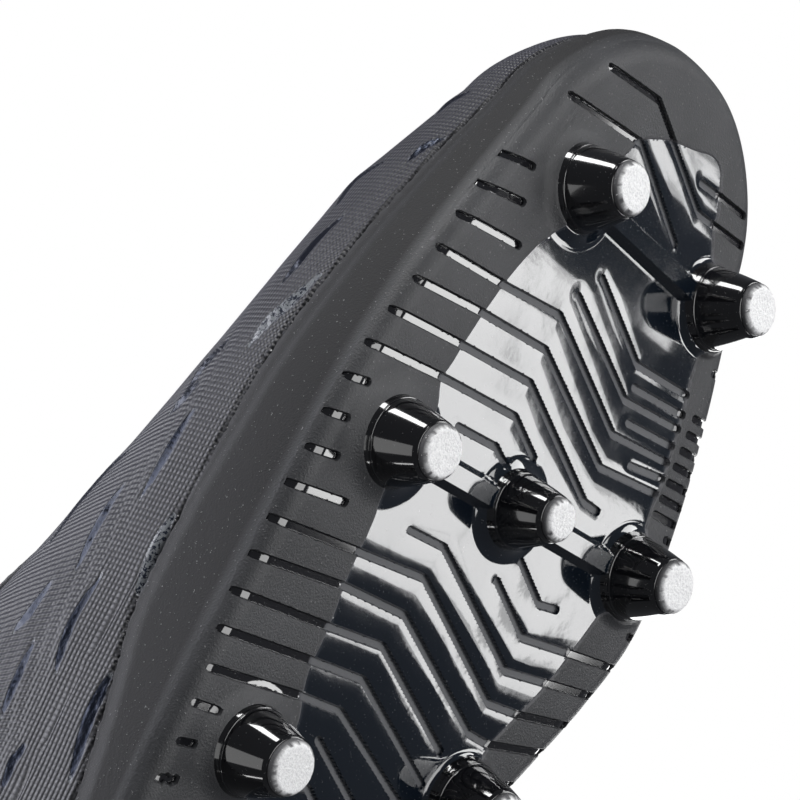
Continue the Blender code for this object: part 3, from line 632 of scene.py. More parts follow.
def side_of_line(points, line):
    """Signed distance to a closed line, above zero inside, and the nearest point on it."""
    along = np.roll(line, -1, 0) - np.roll(line, 1, 0)
    normal = unit(np.stack([-along[:, 1], along[:, 0]], 1))
    finder = kdtree.KDTree(len(line))
    for i, (x, y) in enumerate(line):
        finder.insert((x, y, 0), i)
    finder.balance()
    nearest = np.array([finder.find((x, y, 0))[1] for x, y in points])
    step = points - line[nearest]
    signed = (step * normal[nearest]).sum(1)
    far = np.linalg.norm(step, axis=1)
    signed = np.where(far > NEAR_LINE, np.sign(signed) * far, signed)
    return signed, points - signed[:, None] * normal[nearest]


border_line = closed_curve(CORE_BORDER, BORDER_SPACING)
print("core border", round(len(border_line) * BORDER_SPACING), "mm round")

# %% [markdown]
# The channels are S-shaped chevrons, 6.5 mm apart. They start short on the inner edge, bend twice
# across the core and run out to the outer edge. Each is a short list of corners, read as a line with
# round ends. In the waist and under the heel the same chevrons carry on at the same spacing.

# %% Channels
REAR_FIELD = [
    [(-60.5, 6), (-52.5, -16.5)],
    [(-53, 8), (-46.5, -15), (-48.5, -25.5), (-53.5, -45.3)],
    [(-48, 10.5), (-40, -14), (-42.5, -26), (-47.3, -46.8)],
    [(-41.5, 10.5), (-33.5, -13.8), (-36.5, -27), (-41, -47.7)],
    [(-30.5, 34), (-35.5, 20), (-36, 15), (-27, -13), (-29.5, -28), (-34.5, -48.2)],
    [(-24, 36), (-28, 23.5), (-29.8, 15.5), (-20, -13), (-23.5, -29), (-28, -48.6)],
    [(-17, 38.3), (-20.5, 26), (-23.5, 15.3), (-13.7, -12.5), (-15.2, -21.5)],
    [(-18.8, -38), (-21.7, -49)],
    [(-10.5, 40.3), (-13.5, 28.5), (-17, 15.3), (-12.2, 2.8)],
    [(-9.2, 19.5), (-10.5, 15), (-6.8, 6)],
    [(-13.7, -44.5), (-15, -49)], [(-7.7, -46.5), (-8.5, -49.2)], [(-0.7, -46), (-1.6, -48.8)],
    [(-58.5, -40), (-59.5, -44.6)], [(-38.5, 31), (-39.1, 29)], [(-4, 41), (-4.3, 39.5)]]
FRONT_FIELD = [
    [(4.5, -8.5), (5.8, -12), (4, -22.5)],
    [(9, -2.5), (12.3, -11), (9, -29.5), (5, -48.1)],
    [(9.5, 18), (9.2, 14), (18.8, -11), (15.5, -29.5), (12, -46.9)],
    [(19.5, 30), (16, 14), (25.3, -11), (22.3, -28.5), (18.8, -45.2)],
    [(25.5, 29.5), (22.3, 13.5), (32, -11), (28.8, -26.5), (25.8, -43.5)],
    [(31.8, 28.8), (28.8, 13), (37.2, -8.5)], [(38, 27.5), (35.5, 12.5), (43, -4.5)],
    [(22.5, 30), (20.2, 21)], [(28.5, 29), (26, 16)], [(34.5, 28.5), (31.8, 13.8)],
    [(36, -27.5), (33, -41.8)], [(42.5, -30.5), (40, -39.8)], [(48.8, -31.5), (47.2, -37.8)],
    [(58.5, 10.5), (68.3, -7), (64.5, -28.5)],
    [(68.5, 28), (67.3, 19), (66.7, 14), (77.3, -6.5), (74.8, -21)],
    [(73.5, 26), (72.5, 17), (71.8, 12)], [(45.5, 34.5), (45, 32.5)], [(14.5, 39.5), (14.1, 37.5)]]
INNER_TICKS = [[(x, 38.6 - 0.06 * (x - 17)), (x - 1.1, 32.0)]
               for x in (17.5, 20.7, 23.9, 27.1, 30.3, 33.5, 36.7)]
OUTER_TICKS = [[(x, -39.5 - (x + 91) * 0.05), (x - 0.9, -42.3 - (x + 91) * 0.05)]
               for x in (-91, -84.5, -78, -71.5, -65)]
PITCH = 6.5
WAIST_FIELD = [[(-60.5 - PITCH * k, 5 - k), (-53.5 - PITCH * k, -13), (-56 - PITCH * k, -20)]
               for k in range(1, 6)]
HEEL_FIELD = [[(-128 - PITCH * k, 12), (-124 - PITCH * k, -6), (-128 - PITCH * k, -25)]
              for k in range(2, 6)]
CHANNELS = REAR_FIELD + FRONT_FIELD + INNER_TICKS + OUTER_TICKS + WAIST_FIELD + HEEL_FIELD
CHANNEL_HALF_WIDTH, CHANNEL_DEPTH, CHANNEL_WALL = 0.82, 0.8, 0.28
SHOULDER_WIDTH, SHOULDER_DROP = 2.2, 0.05


def nearest_on_lines(points, lines, reach):
    """Distance to the nearest of some open lines, up to a reach, and the nearest point on them."""
    best = np.full(len(points), reach)
    spot = points.copy()
    for line in lines:
        for a, b in zip(np.array(line[:-1], float), np.array(line[1:], float)):
            low, high = np.minimum(a, b) - reach, np.maximum(a, b) + reach
            near = np.flatnonzero(((points > low) & (points < high)).all(1))
            span = b - a
            t = np.clip(((points[near] - a) @ span) / (span @ span), 0, 1)
            on = a + t[:, None] * span
            far = np.linalg.norm(points[near] - on, axis=1)
            closer = far < best[near]
            best[near[closer]] = far[closer]
            spot[near[closer]] = on[closer]
    return best, spot


print(len(CHANNELS), "channels")

# %% [markdown]
# The plan is sampled every 0.3 mm under the forefoot, and twice as wide under the heel. A square grid
# leaves slanting edges jagged, so points that fall near the border or a channel's edge are first
# moved onto it. Then the edge is as clean as the line it was drawn with.

# %% Plan grid
FINE, COARSE, EDGE_CUT = 0.3, 0.6, 1.35
RIB_TOP_HALF, RIB_BASE_HALF = 1.65, 2.9
PLAN_REAR, FINE_FROM, PLAN_FRONT, PLAN_OUTER, PLAN_INNER = -194, -68, 93, -53, 47
plan_x = np.concatenate([np.arange(PLAN_REAR, FINE_FROM, COARSE), np.arange(FINE_FROM, PLAN_FRONT, FINE)])
plan_y = np.arange(PLAN_OUTER, PLAN_INNER, FINE)
plan = np.stack(np.meshgrid(plan_x, plan_y, indexing="ij"), -1).reshape(-1, 2)
quads = grid_faces(len(plan_x), len(plan_y))
inset, _ = side_of_line(plan, outline)
quads = quads[(inset[quads] > EDGE_CUT - COARSE).any(1)]
plan_rows, quads = prune(np.column_stack([plan, inset]), quads)
plan, inset = plan_rows[:, :2], plan_rows[:, 2]
rib_lines = [[STUDS[start][:2], STUDS[end][:2]] for start, end in RIBS]
to_rib, rib_spot = nearest_on_lines(plan, rib_lines, RIB_BASE_HALF + FINE)
for edge in (RIB_TOP_HALF, RIB_BASE_HALF):
    on_rib = np.abs(to_rib - edge) < FINE / 2
    plan[on_rib] = (rib_spot + (plan - rib_spot) * (edge / np.maximum(to_rib, 1e-6))[:, None])[on_rib]
border, border_spot = side_of_line(plan, border_line)
near_border = np.abs(border) < FINE / 2
plan[near_border] = border_spot[near_border]
border[near_border] = 0.0
channel, channel_spot = nearest_on_lines(plan, CHANNELS, CHANNEL_HALF_WIDTH + SHOULDER_WIDTH)
away = (plan - channel_spot) / np.maximum(channel, 1e-6)[:, None]
for edge in (CHANNEL_HALF_WIDTH, CHANNEL_HALF_WIDTH - CHANNEL_WALL):
    gap = channel - edge
    on_edge = (np.abs(gap) < CHANNEL_WALL / 2) & ~near_border
    plan[on_edge] -= (away * gap[:, None])[on_edge]
    channel[on_edge] = edge
triangles = halved(quads)
sole_rows = np.column_stack([plan, inset, border, channel])
print(len(plan), "plan points")

# %% [markdown]
# The height is a sum of simple parts: the toe spring, the rounded rim, the channels, and whatever
# stands proud. Stud flares rise in a hollow curve to the ring that the stud stands on, and a
# flat-topped rib joins neighbouring flares. The frame stands a quarter of a millimetre proud of the core.

# %% Height of the underside
BOSS_HEIGHT, FLARE_HEIGHT, FLARE_START, RIB_HEIGHT = 2.4, 1.25, 0.3, 2.2
FRAME_STEP, STEP_WIDTH = 0.28, 0.35
RIM_WIDTH, RIM_HEIGHT, RIM_FOOT = 5.2, 4.0, 1.2


def proud(points):
    """How far flares and ribs stand out of the plate."""
    height = np.zeros(len(points))
    for x, y, root, _, flare in STUDS.values():
        from_axis = np.hypot(points[:, 0] - x, points[:, 1] - y)
        t = np.clip((from_axis - root - FLARE_START) / (flare - root), 0, 1)
        height = np.maximum(height, FLARE_HEIGHT * (1 - t) ** 2)
    far, _ = nearest_on_lines(points, rib_lines, RIB_BASE_HALF)
    slope = np.clip((RIB_BASE_HALF - far) / (RIB_BASE_HALF - RIB_TOP_HALF), 0, 1)
    return np.maximum(height, RIB_HEIGHT * slope)


def rim(inset_distance):
    """How far the underside has turned up towards the side wall."""
    t = np.clip((RIM_WIDTH - inset_distance) / (RIM_WIDTH - RIM_FOOT), 0, 1)
    return RIM_HEIGHT * (1 - np.sqrt(1 - t * t))


def underside(rows, step):
    """Points of the sole's underside, and how deep each lies in a channel, 0 to 1."""
    points, edge, line, far = rows[:, :2], rows[:, 2], rows[:, 3], rows[:, 4]
    stands = proud(points)
    keep = 1 - np.clip(stands, 0, 1)
    deep = ease(CHANNEL_HALF_WIDTH - far, 0.0, CHANNEL_WALL) * keep
    shoulder = SHOULDER_DROP * np.clip(1 - (far - CHANNEL_HALF_WIDTH) / SHOULDER_WIDTH, 0, 1) ** 2 * keep
    lip = ease(np.abs(line), 0.0, STEP_WIDTH) * step
    height = sole_height(points[:, 0]) + rim(edge) + CHANNEL_DEPTH * deep + shoulder - stands - lip
    return np.column_stack([points, height]), deep


# %% Core and frame meshes
core_rows, core_faces = clip(sole_rows, triangles, sole_rows[:, 3] + 1e-6)
core_points, core_deep = underside(core_rows, 0.0)
frame_rows, frame_faces = clip(sole_rows, triangles, 1e-6 - sole_rows[:, 3])
frame_rows, frame_faces = clip(frame_rows, frame_faces, frame_rows[:, 2] - EDGE_CUT)
frame_points, frame_deep = underside(frame_rows, FRAME_STEP)
print("core", len(core_faces), "frame", len(frame_faces), "triangles")

# %% [markdown]
# From the rim the frame turns up into the side wall. It is bonded over the upper's lower edge, so it
# thins to a feather edge at the top, where the bite line is a little uneven. The wall follows the
# boot's own skin, so it is a grid of rows that walks right round the outline.

# %% Side wall
WALL_COLUMNS, WALL_ROWS, LIP_TAPER, LIP_DEPTH = 1500, 22, 5.0, 1.75
WALL_START, TUCKED_UNDER, BITE_WOBBLE = EDGE_CUT + 0.12, 0.04, 0.35
wall_u = np.linspace(0, 4, WALL_COLUMNS, endpoint=False)
wall_base = perimeter(wall_u)[0]
ahead = np.roll(wall_base, -1, 0) - np.roll(wall_base, 1, 0)
wall_start = wall_base + unit(np.stack([-ahead[:, 1], ahead[:, 0]], 1)) * WALL_START
foot_level = sole_height(wall_base[:, 0])
foot_v = v_at_height(wall_u, foot_level + RIM_HEIGHT)
top_level = foot_level + through(SIDEWALL_HEIGHT, wall_base[:, 0])
wobble = np.array([noise.noise(Vector((x * 0.55, y * 0.55, 0.0)))
                   + 0.6 * noise.noise(Vector((x * 2.1, y * 2.1, 5.0))) for x, y in wall_base])
top_v = v_at_height(wall_u, top_level + BITE_WOBBLE * wobble)
foot_points = skin(wall_u, foot_v)
rows = []
for share in (0.0, 0.25, 0.5, 0.75):
    flat = wall_start + (foot_points[:, :2] - wall_start) * share
    t = (RIM_WIDTH - WALL_START) / (RIM_WIDTH - RIM_FOOT) * (1 - share) + share
    turned_up = RIM_HEIGHT * (1 - math.sqrt(max(1 - t * t, 0)))
    level = sole_height(flat[:, 0]) + turned_up - FRAME_STEP * (1 - share)
    rows.append(np.column_stack([flat, level + (TUCKED_UNDER if share == 0 else 0)]))
for j in range(WALL_ROWS + 1):
    v = foot_v + (top_v - foot_v) * j / WALL_ROWS
    below_top = (top_v - v) / np.maximum(top_v - foot_v, 1e-6) * (top_level - foot_level - RIM_HEIGHT)
    rows.append(skin(wall_u, v, LIP_DEPTH * (1 - ease(below_top, 0.0, LIP_TAPER))))
rows.append(skin(wall_u, top_v, LIP_DEPTH + 0.3))
rows.append(skin(wall_u, np.maximum(top_v - 0.06, 0.02), LIP_DEPTH + 0.35))
wall_points = np.stack(rows, 1).reshape(-1, 3)
wall_faces = grid_faces(WALL_COLUMNS, len(rows), closed=True)
all_points = np.concatenate([frame_points, wall_points])
all_faces = frame_faces[:, ::-1].tolist() + (wall_faces + len(frame_points)).tolist()
print("side wall", WALL_COLUMNS, "by", len(rows), "points")

# %% [markdown]
# The core is a clear, hard, blue-black gloss. Its channels are blasted in the mould, so their floors
# stay matt and grey: the mesh holds how deep each point lies, and the roughness follows it. A very
# slow waviness in the bump is what makes a mirrored light panel end in a wavy line on moulded plastic.

# %% Core material
core_look, tree, shader, place, core_grain, core_wear = worn_look(
    "core_gloss", (0.003, 0.006, 0.011), 0.07, 700.0, 0.54, 0.22, Specular_IOR_Level=0.55,
    Coat_Roughness=0.03)
floor_share = ramp(tree, held(tree, "channel"), 0, 1, 0.55, 0.95)
toned = blend_colour(tree, floor_share, (0.003, 0.006, 0.011), (0.105, 0.108, 0.116))
dusty = blend_colour(tree, core_wear["Dust"], toned, (0.30, 0.30, 0.30))
smear = ramp(tree, core_grain["Tone"], 0.045, 0.10, 0.35, 0.65)
drive(shader, Base_Color=blend_colour(tree, core_wear["Rub"], dusty, (0.05, 0.055, 0.065)),
      Roughness=maths(tree, "MULTIPLY_ADD", floor_share, 0.5, smear),
      Coat_Weight=maths(tree, "SUBTRACT", 1.0, floor_share, clamp=True))
slow = maths(tree, "MULTIPLY_ADD", noise_of(tree, place, 380.0, 2.0), 0.05, noise_of(tree, place, 55.0, 1.0))
blasted = maths(tree, "MULTIPLY", core_grain["Height"], floor_share)
bump(tree, shader, maths(tree, "MULTIPLY_ADD", blasted, 0.12, slow), 0.0006, 0.55)

# %% [markdown]
# The frame is the same kind of plastic from a spark-eroded mould, so it has a fine even grain and
# reflects only a soft grey. Here it is the channel floors that are polished. The side wall is eroded
# more coarsely than the underside, so it is rougher, and its colour is darkened as painted shade; the
# mesh says where the wall begins.

# %% Frame material
frame_look, tree, shader, place, frame_grain, frame_wear = worn_look(
    "frame_matt", (0.037, 0.038, 0.041), 0.5, 2600.0, 0.53, 0.5, Specular_IOR_Level=0.5,
    Coat_Roughness=0.05)
floor_share = ramp(tree, held(tree, "channel"), 0, 1, 0.5, 0.9)
cloud = ramp(tree, frame_grain["Tone"], 0, 1, 0.3, 0.7)
clouded = blend_colour(tree, cloud, (0.030, 0.031, 0.034), (0.044, 0.045, 0.049))
up_the_side = held(tree, "side_wall")
# Painted shade: the side wall's colour is blended towards near-black.
painted_wall_shade = blend_colour(tree, up_the_side, clouded, (0.0045, 0.0045, 0.0055))
sunk = blend_colour(tree, floor_share, painted_wall_shade, (0.008, 0.008, 0.010))
dusty = blend_colour(tree, frame_wear["Dust"], sunk, (0.33, 0.33, 0.33))
matt = maths(tree, "MULTIPLY_ADD", up_the_side, 0.2, 0.5)
drive(shader, Base_Color=blend_colour(tree, frame_wear["Rub"], dusty, (0.11, 0.11, 0.12)),
      Roughness=maths(tree, "MULTIPLY_ADD", floor_share, -0.42, matt), Coat_Weight=floor_share)
frame_height = maths(tree, "MULTIPLY", frame_grain["Height"], maths(tree, "SUBTRACT", 1.0, floor_share))
bump(tree, shader, frame_height, 0.00018, 0.8)

# %% Sole pieces
add_piece("sole_core", core_points, core_faces[:, ::-1], core_look, "outsole_core", slot="moulded_gloss",
          values={"channel": core_deep}, smooth=32)
channel_value = np.concatenate([frame_deep, np.zeros(len(wall_points))])
wall_share = np.tile(np.clip((np.arange(len(rows)) - 2) / 4, 0, 1), WALL_COLUMNS)
wall_value = np.concatenate([np.zeros(len(frame_points)), wall_share])
add_piece("sole_frame", all_points, all_faces, frame_look, "outsole_frame", slot="moulded_matte",
          values={"channel": channel_value, "side_wall": wall_value}, smooth=32)

# %% [markdown]
# ## Studs
# Each stud is a moulded black cone that stands on its flare, with a metal tip pressed into its end. A
# turned shape is one profile swept round an axis. The profile holds the details that catch the light:
# a hollow foot, a fine bead, a slight swell in the cone, a rounded joint and the tip's chamfer.

# %% Stud profiles
STUD_STEP, TIP_THICKNESS, TIP_CHAMFER, STUD_SEGMENTS = 0.3, 1.5, 0.7, 96
TIP_ROUGHNESS, WORN_RIM = 0.05, 0.45


def arc(centre, radius, start, end, steps=6):
    """Points round an arc, as (radius from the axis, height), with angles in degrees."""
    angles = np.radians(np.linspace(start, end, steps))
    return [(centre[0] + radius * math.cos(a), centre[1] + radius * math.sin(a)) for a in angles]


def cone_profile(root, tip, length):
    """Cone from below its flare to the joint with the tip, as (radius, height above the root)."""
    joint = length - TIP_THICKNESS
    rows = [(root + 0.95, -2.3), (root + 0.6, -1.5), (root + 0.36, -0.9), (root + 0.12, -0.2)]
    rows += arc((root - 0.02, 0.0), 0.09, -40, 100, 4) + [(root - 0.1, 0.14), (root - 0.12, 0.3)]
    for share in np.linspace(0.08, 0.97, 12):
        swell = 0.12 * math.sin(math.pi * share)
        rows.append((root + (tip + STUD_STEP - root) * share + swell, joint * share))
    rows += arc((tip + STUD_STEP - 0.25, joint - 0.25), 0.25, 15, 90) + [(tip - 0.6, joint - 0.02)]
    return rows


def tip_profile(tip, length):
    """Tip from inside the cone to its flat face, as (radius, height above the root)."""
    joint = length - TIP_THICKNESS
    rows = [(tip - 0.6, joint - 0.3), (tip - 0.05, joint - 0.05), (tip + 0.03, joint + 0.1)]
    rows += [(tip + 0.02, length - TIP_CHAMFER - 0.15), (tip - 0.06, length - TIP_CHAMFER)]
    rows += [(tip - TIP_CHAMFER + 0.1, length - 0.14), (tip - TIP_CHAMFER - 0.1, length - 0.02)]
    rows += [(tip - TIP_CHAMFER - 0.4 - k * (tip - 1.4) / 9, length) for k in range(10)]
    return rows


def turned(profile, foot, axis, roughness=0.0, cap=True):
    """Points and faces of a profile turned round an axis that runs from the foot towards the ground."""
    side = unit(np.cross(axis, (0.0, 1.0, 0.0)))
    other = np.cross(axis, side)
    angles = np.linspace(0, math.tau, STUD_SEGMENTS, endpoint=False)
    radii, heights = np.array(profile).T
    ring = np.cos(angles)[:, None, None] * side + np.sin(angles)[:, None, None] * other
    points = foot + heights[None, :, None] * axis + radii[None, :, None] * ring
    if roughness:
        jitter = np.array([noise.noise(Vector(p * 1.9)) + 0.7 * noise.noise(Vector(p * 5.3))
                           for p in points.reshape(-1, 3)]).reshape(points.shape[:2])
        fade = np.clip(heights / max(heights), 0, 1) ** 8
        points = points + (roughness * jitter * fade)[..., None] * axis
    faces = grid_faces(STUD_SEGMENTS, len(profile), closed=True)[:, ::-1].tolist()
    points = points.reshape(-1, 3)
    if cap:
        faces.append([k * len(profile) + len(profile) - 1 for k in range(STUD_SEGMENTS)])
    return points, faces


# %% [markdown]
# The cone is injection moulded in the glossiest black of all. The metal tip has been walked on: its
# face is rough and granular, pale where it is scuffed bright and dark in its pits, with a dull rim.

# %% Stud materials
stud_look, tree, shader, place, stud_grain, stud_wear = worn_look(
    "stud_black", (0.004, 0.004, 0.005), 0.08, 500.0, 0.56, 0.25, Specular_IOR_Level=0.6, Coat_Weight=0.8,
    Coat_Roughness=0.03)
rubbed = blend_colour(tree, stud_wear["Rub"], (0.004, 0.004, 0.005), (0.07, 0.07, 0.075))
drive(shader, Base_Color=blend_colour(tree, stud_wear["Dust"], rubbed, (0.3, 0.3, 0.3)),
      Roughness=ramp(tree, stud_grain["Tone"], 0.05, 0.12, 0.3, 0.7))
bump(tree, shader, noise_of(tree, place, 130.0, 1.0), 0.0003, 0.25)

tip_look, tree, shader, place, tip_grain, tip_wear = worn_look(
    "tip_scuffed", (0.9, 0.9, 0.9), 0.5, 2600.0, 0.52, 0.9, Metallic=0.1)
face_share = held(tree, "worn_face")
pits = ramp(tree, tip_grain["Height"], 0, 1, 0.30, 0.62)
scuffed = blend_colour(tree, pits, (0.70, 0.70, 0.71), (0.93, 0.93, 0.93))
rimmed = blend_colour(tree, face_share, (0.10, 0.10, 0.105), scuffed)
drive(shader, Base_Color=blend_colour(tree, tip_wear["Dust"], rimmed, (0.92, 0.92, 0.92)),
      Roughness=ramp(tree, pits, 0.75, 0.45))
bump(tree, shader, tip_grain["Height"], 0.0002, 0.7)

# %% Studs and tips
for name, (x, y, root, tip, _) in STUDS.items():
    upright = x < TOE_SPRING_START
    level = float(sole_height(np.array(x)))
    slope = 0.0 if upright else 2 * TOE_SPRING_CURVE * (x - TOE_SPRING_START)
    axis = np.array((slope, 0.0, -1.0)) / math.hypot(slope, 1.0)
    foot = np.array((x, y, level)) + axis * BOSS_HEIGHT
    length = (level if upright else PLATE_UNDERSIDE) - BOSS_HEIGHT
    points, faces = turned(cone_profile(root, tip, length), foot, axis, cap=False)
    add_piece("cone_" + name, points, faces, stud_look, "stud_" + name, slot="stud_gloss", smooth=50)
    profile = tip_profile(tip, length)
    points, faces = turned(profile, foot, axis, roughness=TIP_ROUGHNESS)
    ragged = 0.35 * np.array([noise.noise(Vector(p * 1.3)) for p in points])
    middle_far = np.tile([r for r, _ in profile], STUD_SEGMENTS)
    worn = np.clip((tip - WORN_RIM + ragged - middle_far) / 0.15, 0, 1)
    add_piece("tip_" + name + "_worn", points, faces, tip_look, "tip_" + name, slot="tip_metal",
              values={"worn_face": worn}, smooth=50)

# %% [markdown]
# ## The upper
# The upper is one thin embossed synthetic skin pulled over the last. Its short glossy dashes are
# pressed in by a hot die, and the skin swells softly beside them. The dashes are shape, not just
# colour, so the skin is a fine grid whose depth they change.

# %% Edges of the upper
THROAT_FRONT, THROAT_REAR, THROAT_NOSE = -2.0, -88.0, 8.0
THROAT_HALF_WIDTH = [(-88, 17), (-60, 14), (-30, 11), (-10, 9), (-2, 9)]
COLLAR_DROP = [(-193, 20), (-170, 28), (-150, 33), (-130, 34), (-115, 28), (-100, 14), (-88, 0)]
HEEL_PANEL_FRONT, COLLAR_FRONT, PANEL_SEAM = -136.0, -119.0, 1.0
UPPER_DEPTH, LINING_DEPTH = 2.1, 4.9


def throat_half_width(x):
    """Half the width of the lacing gap, which ends in a round nose."""
    nose = np.clip((THROAT_FRONT - x) / THROAT_NOSE, 0.0, 1.0)
    return through(THROAT_HALF_WIDTH, x) * np.sqrt(nose * (2 - nose))


def top_edge_v(u):
    """v of the upper's top edge: the crown, the lacing gap or the collar line."""
    u = np.asarray(u, float)
    x = perimeter(u)[0][..., 0]
    inner = u % 4 > 2
    corner = np.where(inner, side_u(THROAT_REAR, True), side_u(THROAT_REAR))
    corner_v = v_at_offset(corner, throat_half_width(np.array(THROAT_REAR)))
    collar = v_at_height(u, skin_surface(corner, corner_v)[..., 2] - through(COLLAR_DROP, x))
    laced = v_at_offset(u, throat_half_width(x))
    closed = (x >= THROAT_FRONT) | ((u % 4 >= 1) & (u % 4 <= 2))
    return np.where(closed, CROWN_V, np.where(x >= THROAT_REAR, laced, collar))


def even_rows(u, low, high, count):
    """Rows of v between two v values, at even distances up the surface; shape columns by count."""
    v = low[:, None] + (high - low)[:, None] * np.linspace(0, 1, 61)
    points = skin_surface(u[:, None] + 0 * v, v)
    steps = np.linalg.norm(np.diff(points, axis=1), axis=2)
    length = np.concatenate([np.zeros((len(u), 1)), np.cumsum(steps, 1)], 1)
    rows = [np.interp(np.linspace(0, length[i, -1], count), length[i], v[i]) for i in range(len(u))]
    return np.array(rows), length[:, -1]


def down_from(u, v, distance):
    """v at a distance down the section from v."""
    rows, length = even_rows(u, np.zeros(len(u)), v, 120)
    share = np.clip(1 - distance / length, 0, 1)
    return np.array([np.interp(s, np.linspace(0, 1, 120), row) for s, row in zip(share, rows)])


def laid_flat(u, rows, height):
    """Place on the cloth in millimetres, along and up, at each point of a grid over columns u."""
    columns, count = rows.shape
    along = np.broadcast_to(run_along(perimeter(u)[0])[:, None], rows.shape)
    return np.stack([along, np.linspace(0, 1, count) * height[:, None], np.zeros(rows.shape)], -1)


# %% [markdown]
# Each dash on the outer side is placed by a few points of distance along the boot and height above
# the ground. The inner side, toe and heel carry the same kind of dash in staggered rows, laid by a
# loop with a fixed seed. Over the top of the toe, where the columns crowd together, there are none.

# %% Dashes
OUTER_DASHES = [
    [(-14, 44), (-20, 44), (-25, 44), (-32, 45)], [(-33, 35), (-39, 35), (-47, 34)],
    [(-30, 52), (-37, 52), (-47, 51)], [(-46, 44), (-54, 45), (-60, 44), (-64, 43)],
    [(-61, 31), (-68, 31), (-79, 29)], [(-60, 52), (-68, 51), (-74, 51)], [(-76, 42), (-80, 43), (-85, 43)],
    [(-49, 56), (-57, 57), (-60, 59)], [(-9, 48), (-13, 49), (-16, 51)],
    [(-23, 59), (-27, 64), (-34, 66), (-43, 66)],
    [(61, 43), (58, 46), (55, 47)], [(49, 36), (46, 38), (42, 39)], [(42, 46), (37, 51), (30, 48)],
    [(28, 42), (22, 43), (16, 43), (12, 44)], [(15, 35), (8, 37), (4, 39), (-1, 40)],
    [(0, 48), (-6, 50), (-12, 50)]]
# Painted highlight: the dashes listed here, and about one in eight of those laid by the loop, are marked pale
# as glints.
GLINT_DASHES, WIDE_DASHES, DASH_REACH = (1, 14), (1, 4, 14), 9


def dash_path(spots):
    """Even 3-D points along a dash given as (u, v) spots."""
    spots = np.array(spots, float)
    t = np.linspace(0, len(spots) - 1, 14)
    u, v = (np.interp(t, np.arange(len(spots)), spots[:, k]) for k in (0, 1))
    return skin(u, v, UPPER_DEPTH)


dash_list = []
for number, spots in enumerate(OUTER_DASHES):
    x, z = np.array(spots, float).T
    u = side_u(x)
    dash_list.append((dash_path(np.stack([u, v_at_height(u, z)], 1)),
                      1.25 if number in WIDE_DASHES else 0.85, float(number in GLINT_DASHES)))
chance = np.random.default_rng(7)
placed_low, placed_high = side_u(-88) - 0.05, side_u(62)
TOE_DASH_TOP, PLACED_TOP = 0.62, 1.1
for row, v in enumerate(np.arange(0.30, 1.42, 0.115)):
    u = 0.02 + 0.06 * (row % 2)
    while u < 3.98:
        on_toe = 1 <= u < 2
        length = chance.uniform(0.045, 0.085) * (1.6 if on_toe else 1.0)
        tilt = chance.uniform(-0.035, 0.035)
        placed = placed_low < u < placed_high and v < PLACED_TOP
        if on_toe and v > TOE_DASH_TOP:
            u += 0.05
            continue
        if not placed and chance.random() < 0.8:
            start = v + chance.uniform(-0.03, 0.03)
            path = dash_path([(u, start), (u + length / 2, start + tilt * 0.7), (u + length, start + tilt)])
            # Painted highlight: about one looped dash in eight is marked pale as a glint.
            dash_list.append((path, chance.uniform(0.65, 1.2), float(chance.random() < 0.12)))
        u += length + chance.uniform(0.03, 0.07)
print(len(dash_list), "dashes")


def dash_fields(points):
    """How much of a dash, a painted glint on some dashes and at every dash's ends, and a soft swell lies at
    each point.
    """
    dash, painted_glint, swell = np.zeros((3, len(points)))
    for path, half_width, has_glint in dash_list:
        low, high = path.min(0) - DASH_REACH, path.max(0) + DASH_REACH
        near = np.flatnonzero(((points > low) & (points < high)).all(1))
        if not len(near):
            continue
        far = np.full(len(near), np.inf)
        share = np.zeros(len(near))
        for k in range(len(path) - 1):
            span = path[k + 1] - path[k]
            t = np.clip(((points[near] - path[k]) @ span) / max(span @ span, 1e-9), 0, 1)
            gap = np.linalg.norm(points[near] - path[k] - t[:, None] * span, axis=1)
            closer = gap < far
            far[closer], share[closer] = gap[closer], ((k + t) / (len(path) - 1))[closer]
        width = half_width * np.sqrt(np.clip(np.sin(np.pi * np.clip(share, 0.04, 0.96)), 0, 1))
        here = ease(width + 0.45 - far, 0.0, 0.9)
        # Painted highlight: a short stretch at each end of every dash is marked pale as a glint.
        end_glint = here * np.clip(np.abs(share - 0.5) * 16 - 6.9, 0, 1)
        above = points[near, 2] > np.interp(share, np.linspace(0, 1, len(path)), path[:, 2])
        dash[near] = np.maximum(dash[near], here)
        painted_glint[near] = np.maximum(painted_glint[near], np.maximum(here * has_glint, end_glint))
        fading = np.exp(-far / 3.6) * np.sin(np.pi * np.clip(share, 0.1, 0.9))
        swell[near] = np.maximum(swell[near], fading * np.where(above, 1.0, 0.45))
    return dash, painted_glint, swell


# %% [markdown]
# The skin's emboss is too fine for a mesh: beads of about a millimetre by the sole, drawn out into
# ribs higher up. It is a bump laid on a place held in the mesh, in millimetres along and up the boot.

# %% Embossed skin material
skin_look, tree, shader, place, skin_grain, skin_wear = worn_look(
    "embossed_skin", (0.022, 0.022, 0.026), 0.42, 1300.0, 0.55, 0.35, Specular_IOR_Level=0.5,
    Sheen_Weight=0.12, Sheen_Roughness=0.4, Sheen_Tint=(0.75, 0.75, 1.0, 1))
laid = held(tree, "laid", "Vector")
dash_share = ramp(tree, held(tree, "dash"), 0, 1, 0.35, 0.62)
painted_glint_share = ramp(tree, held(tree, "painted_glint"), 0, 1, 0.3, 0.6)
slanted = tree.nodes.new("ShaderNodeVectorRotate")
slanted.rotation_type = "Z_AXIS"
slanted.inputs["Angle"].default_value = math.radians(45)
tree.links.new(laid, slanted.inputs["Vector"])
beads = use_group(tree, weave, slanted.outputs[0], Pitch=1.45)
parts = tree.nodes.new("ShaderNodeSeparateXYZ")
tree.links.new(laid, parts.inputs[0])
leaning = maths(tree, "MULTIPLY_ADD", parts.outputs["Y"], 0.35, parts.outputs["X"])
rib = maths(tree, "SINE", maths(tree, "MULTIPLY", leaning, math.tau / 1.15))
high_up = ramp(tree, parts.outputs["Y"], 0, 1, 26.0, 38.0)
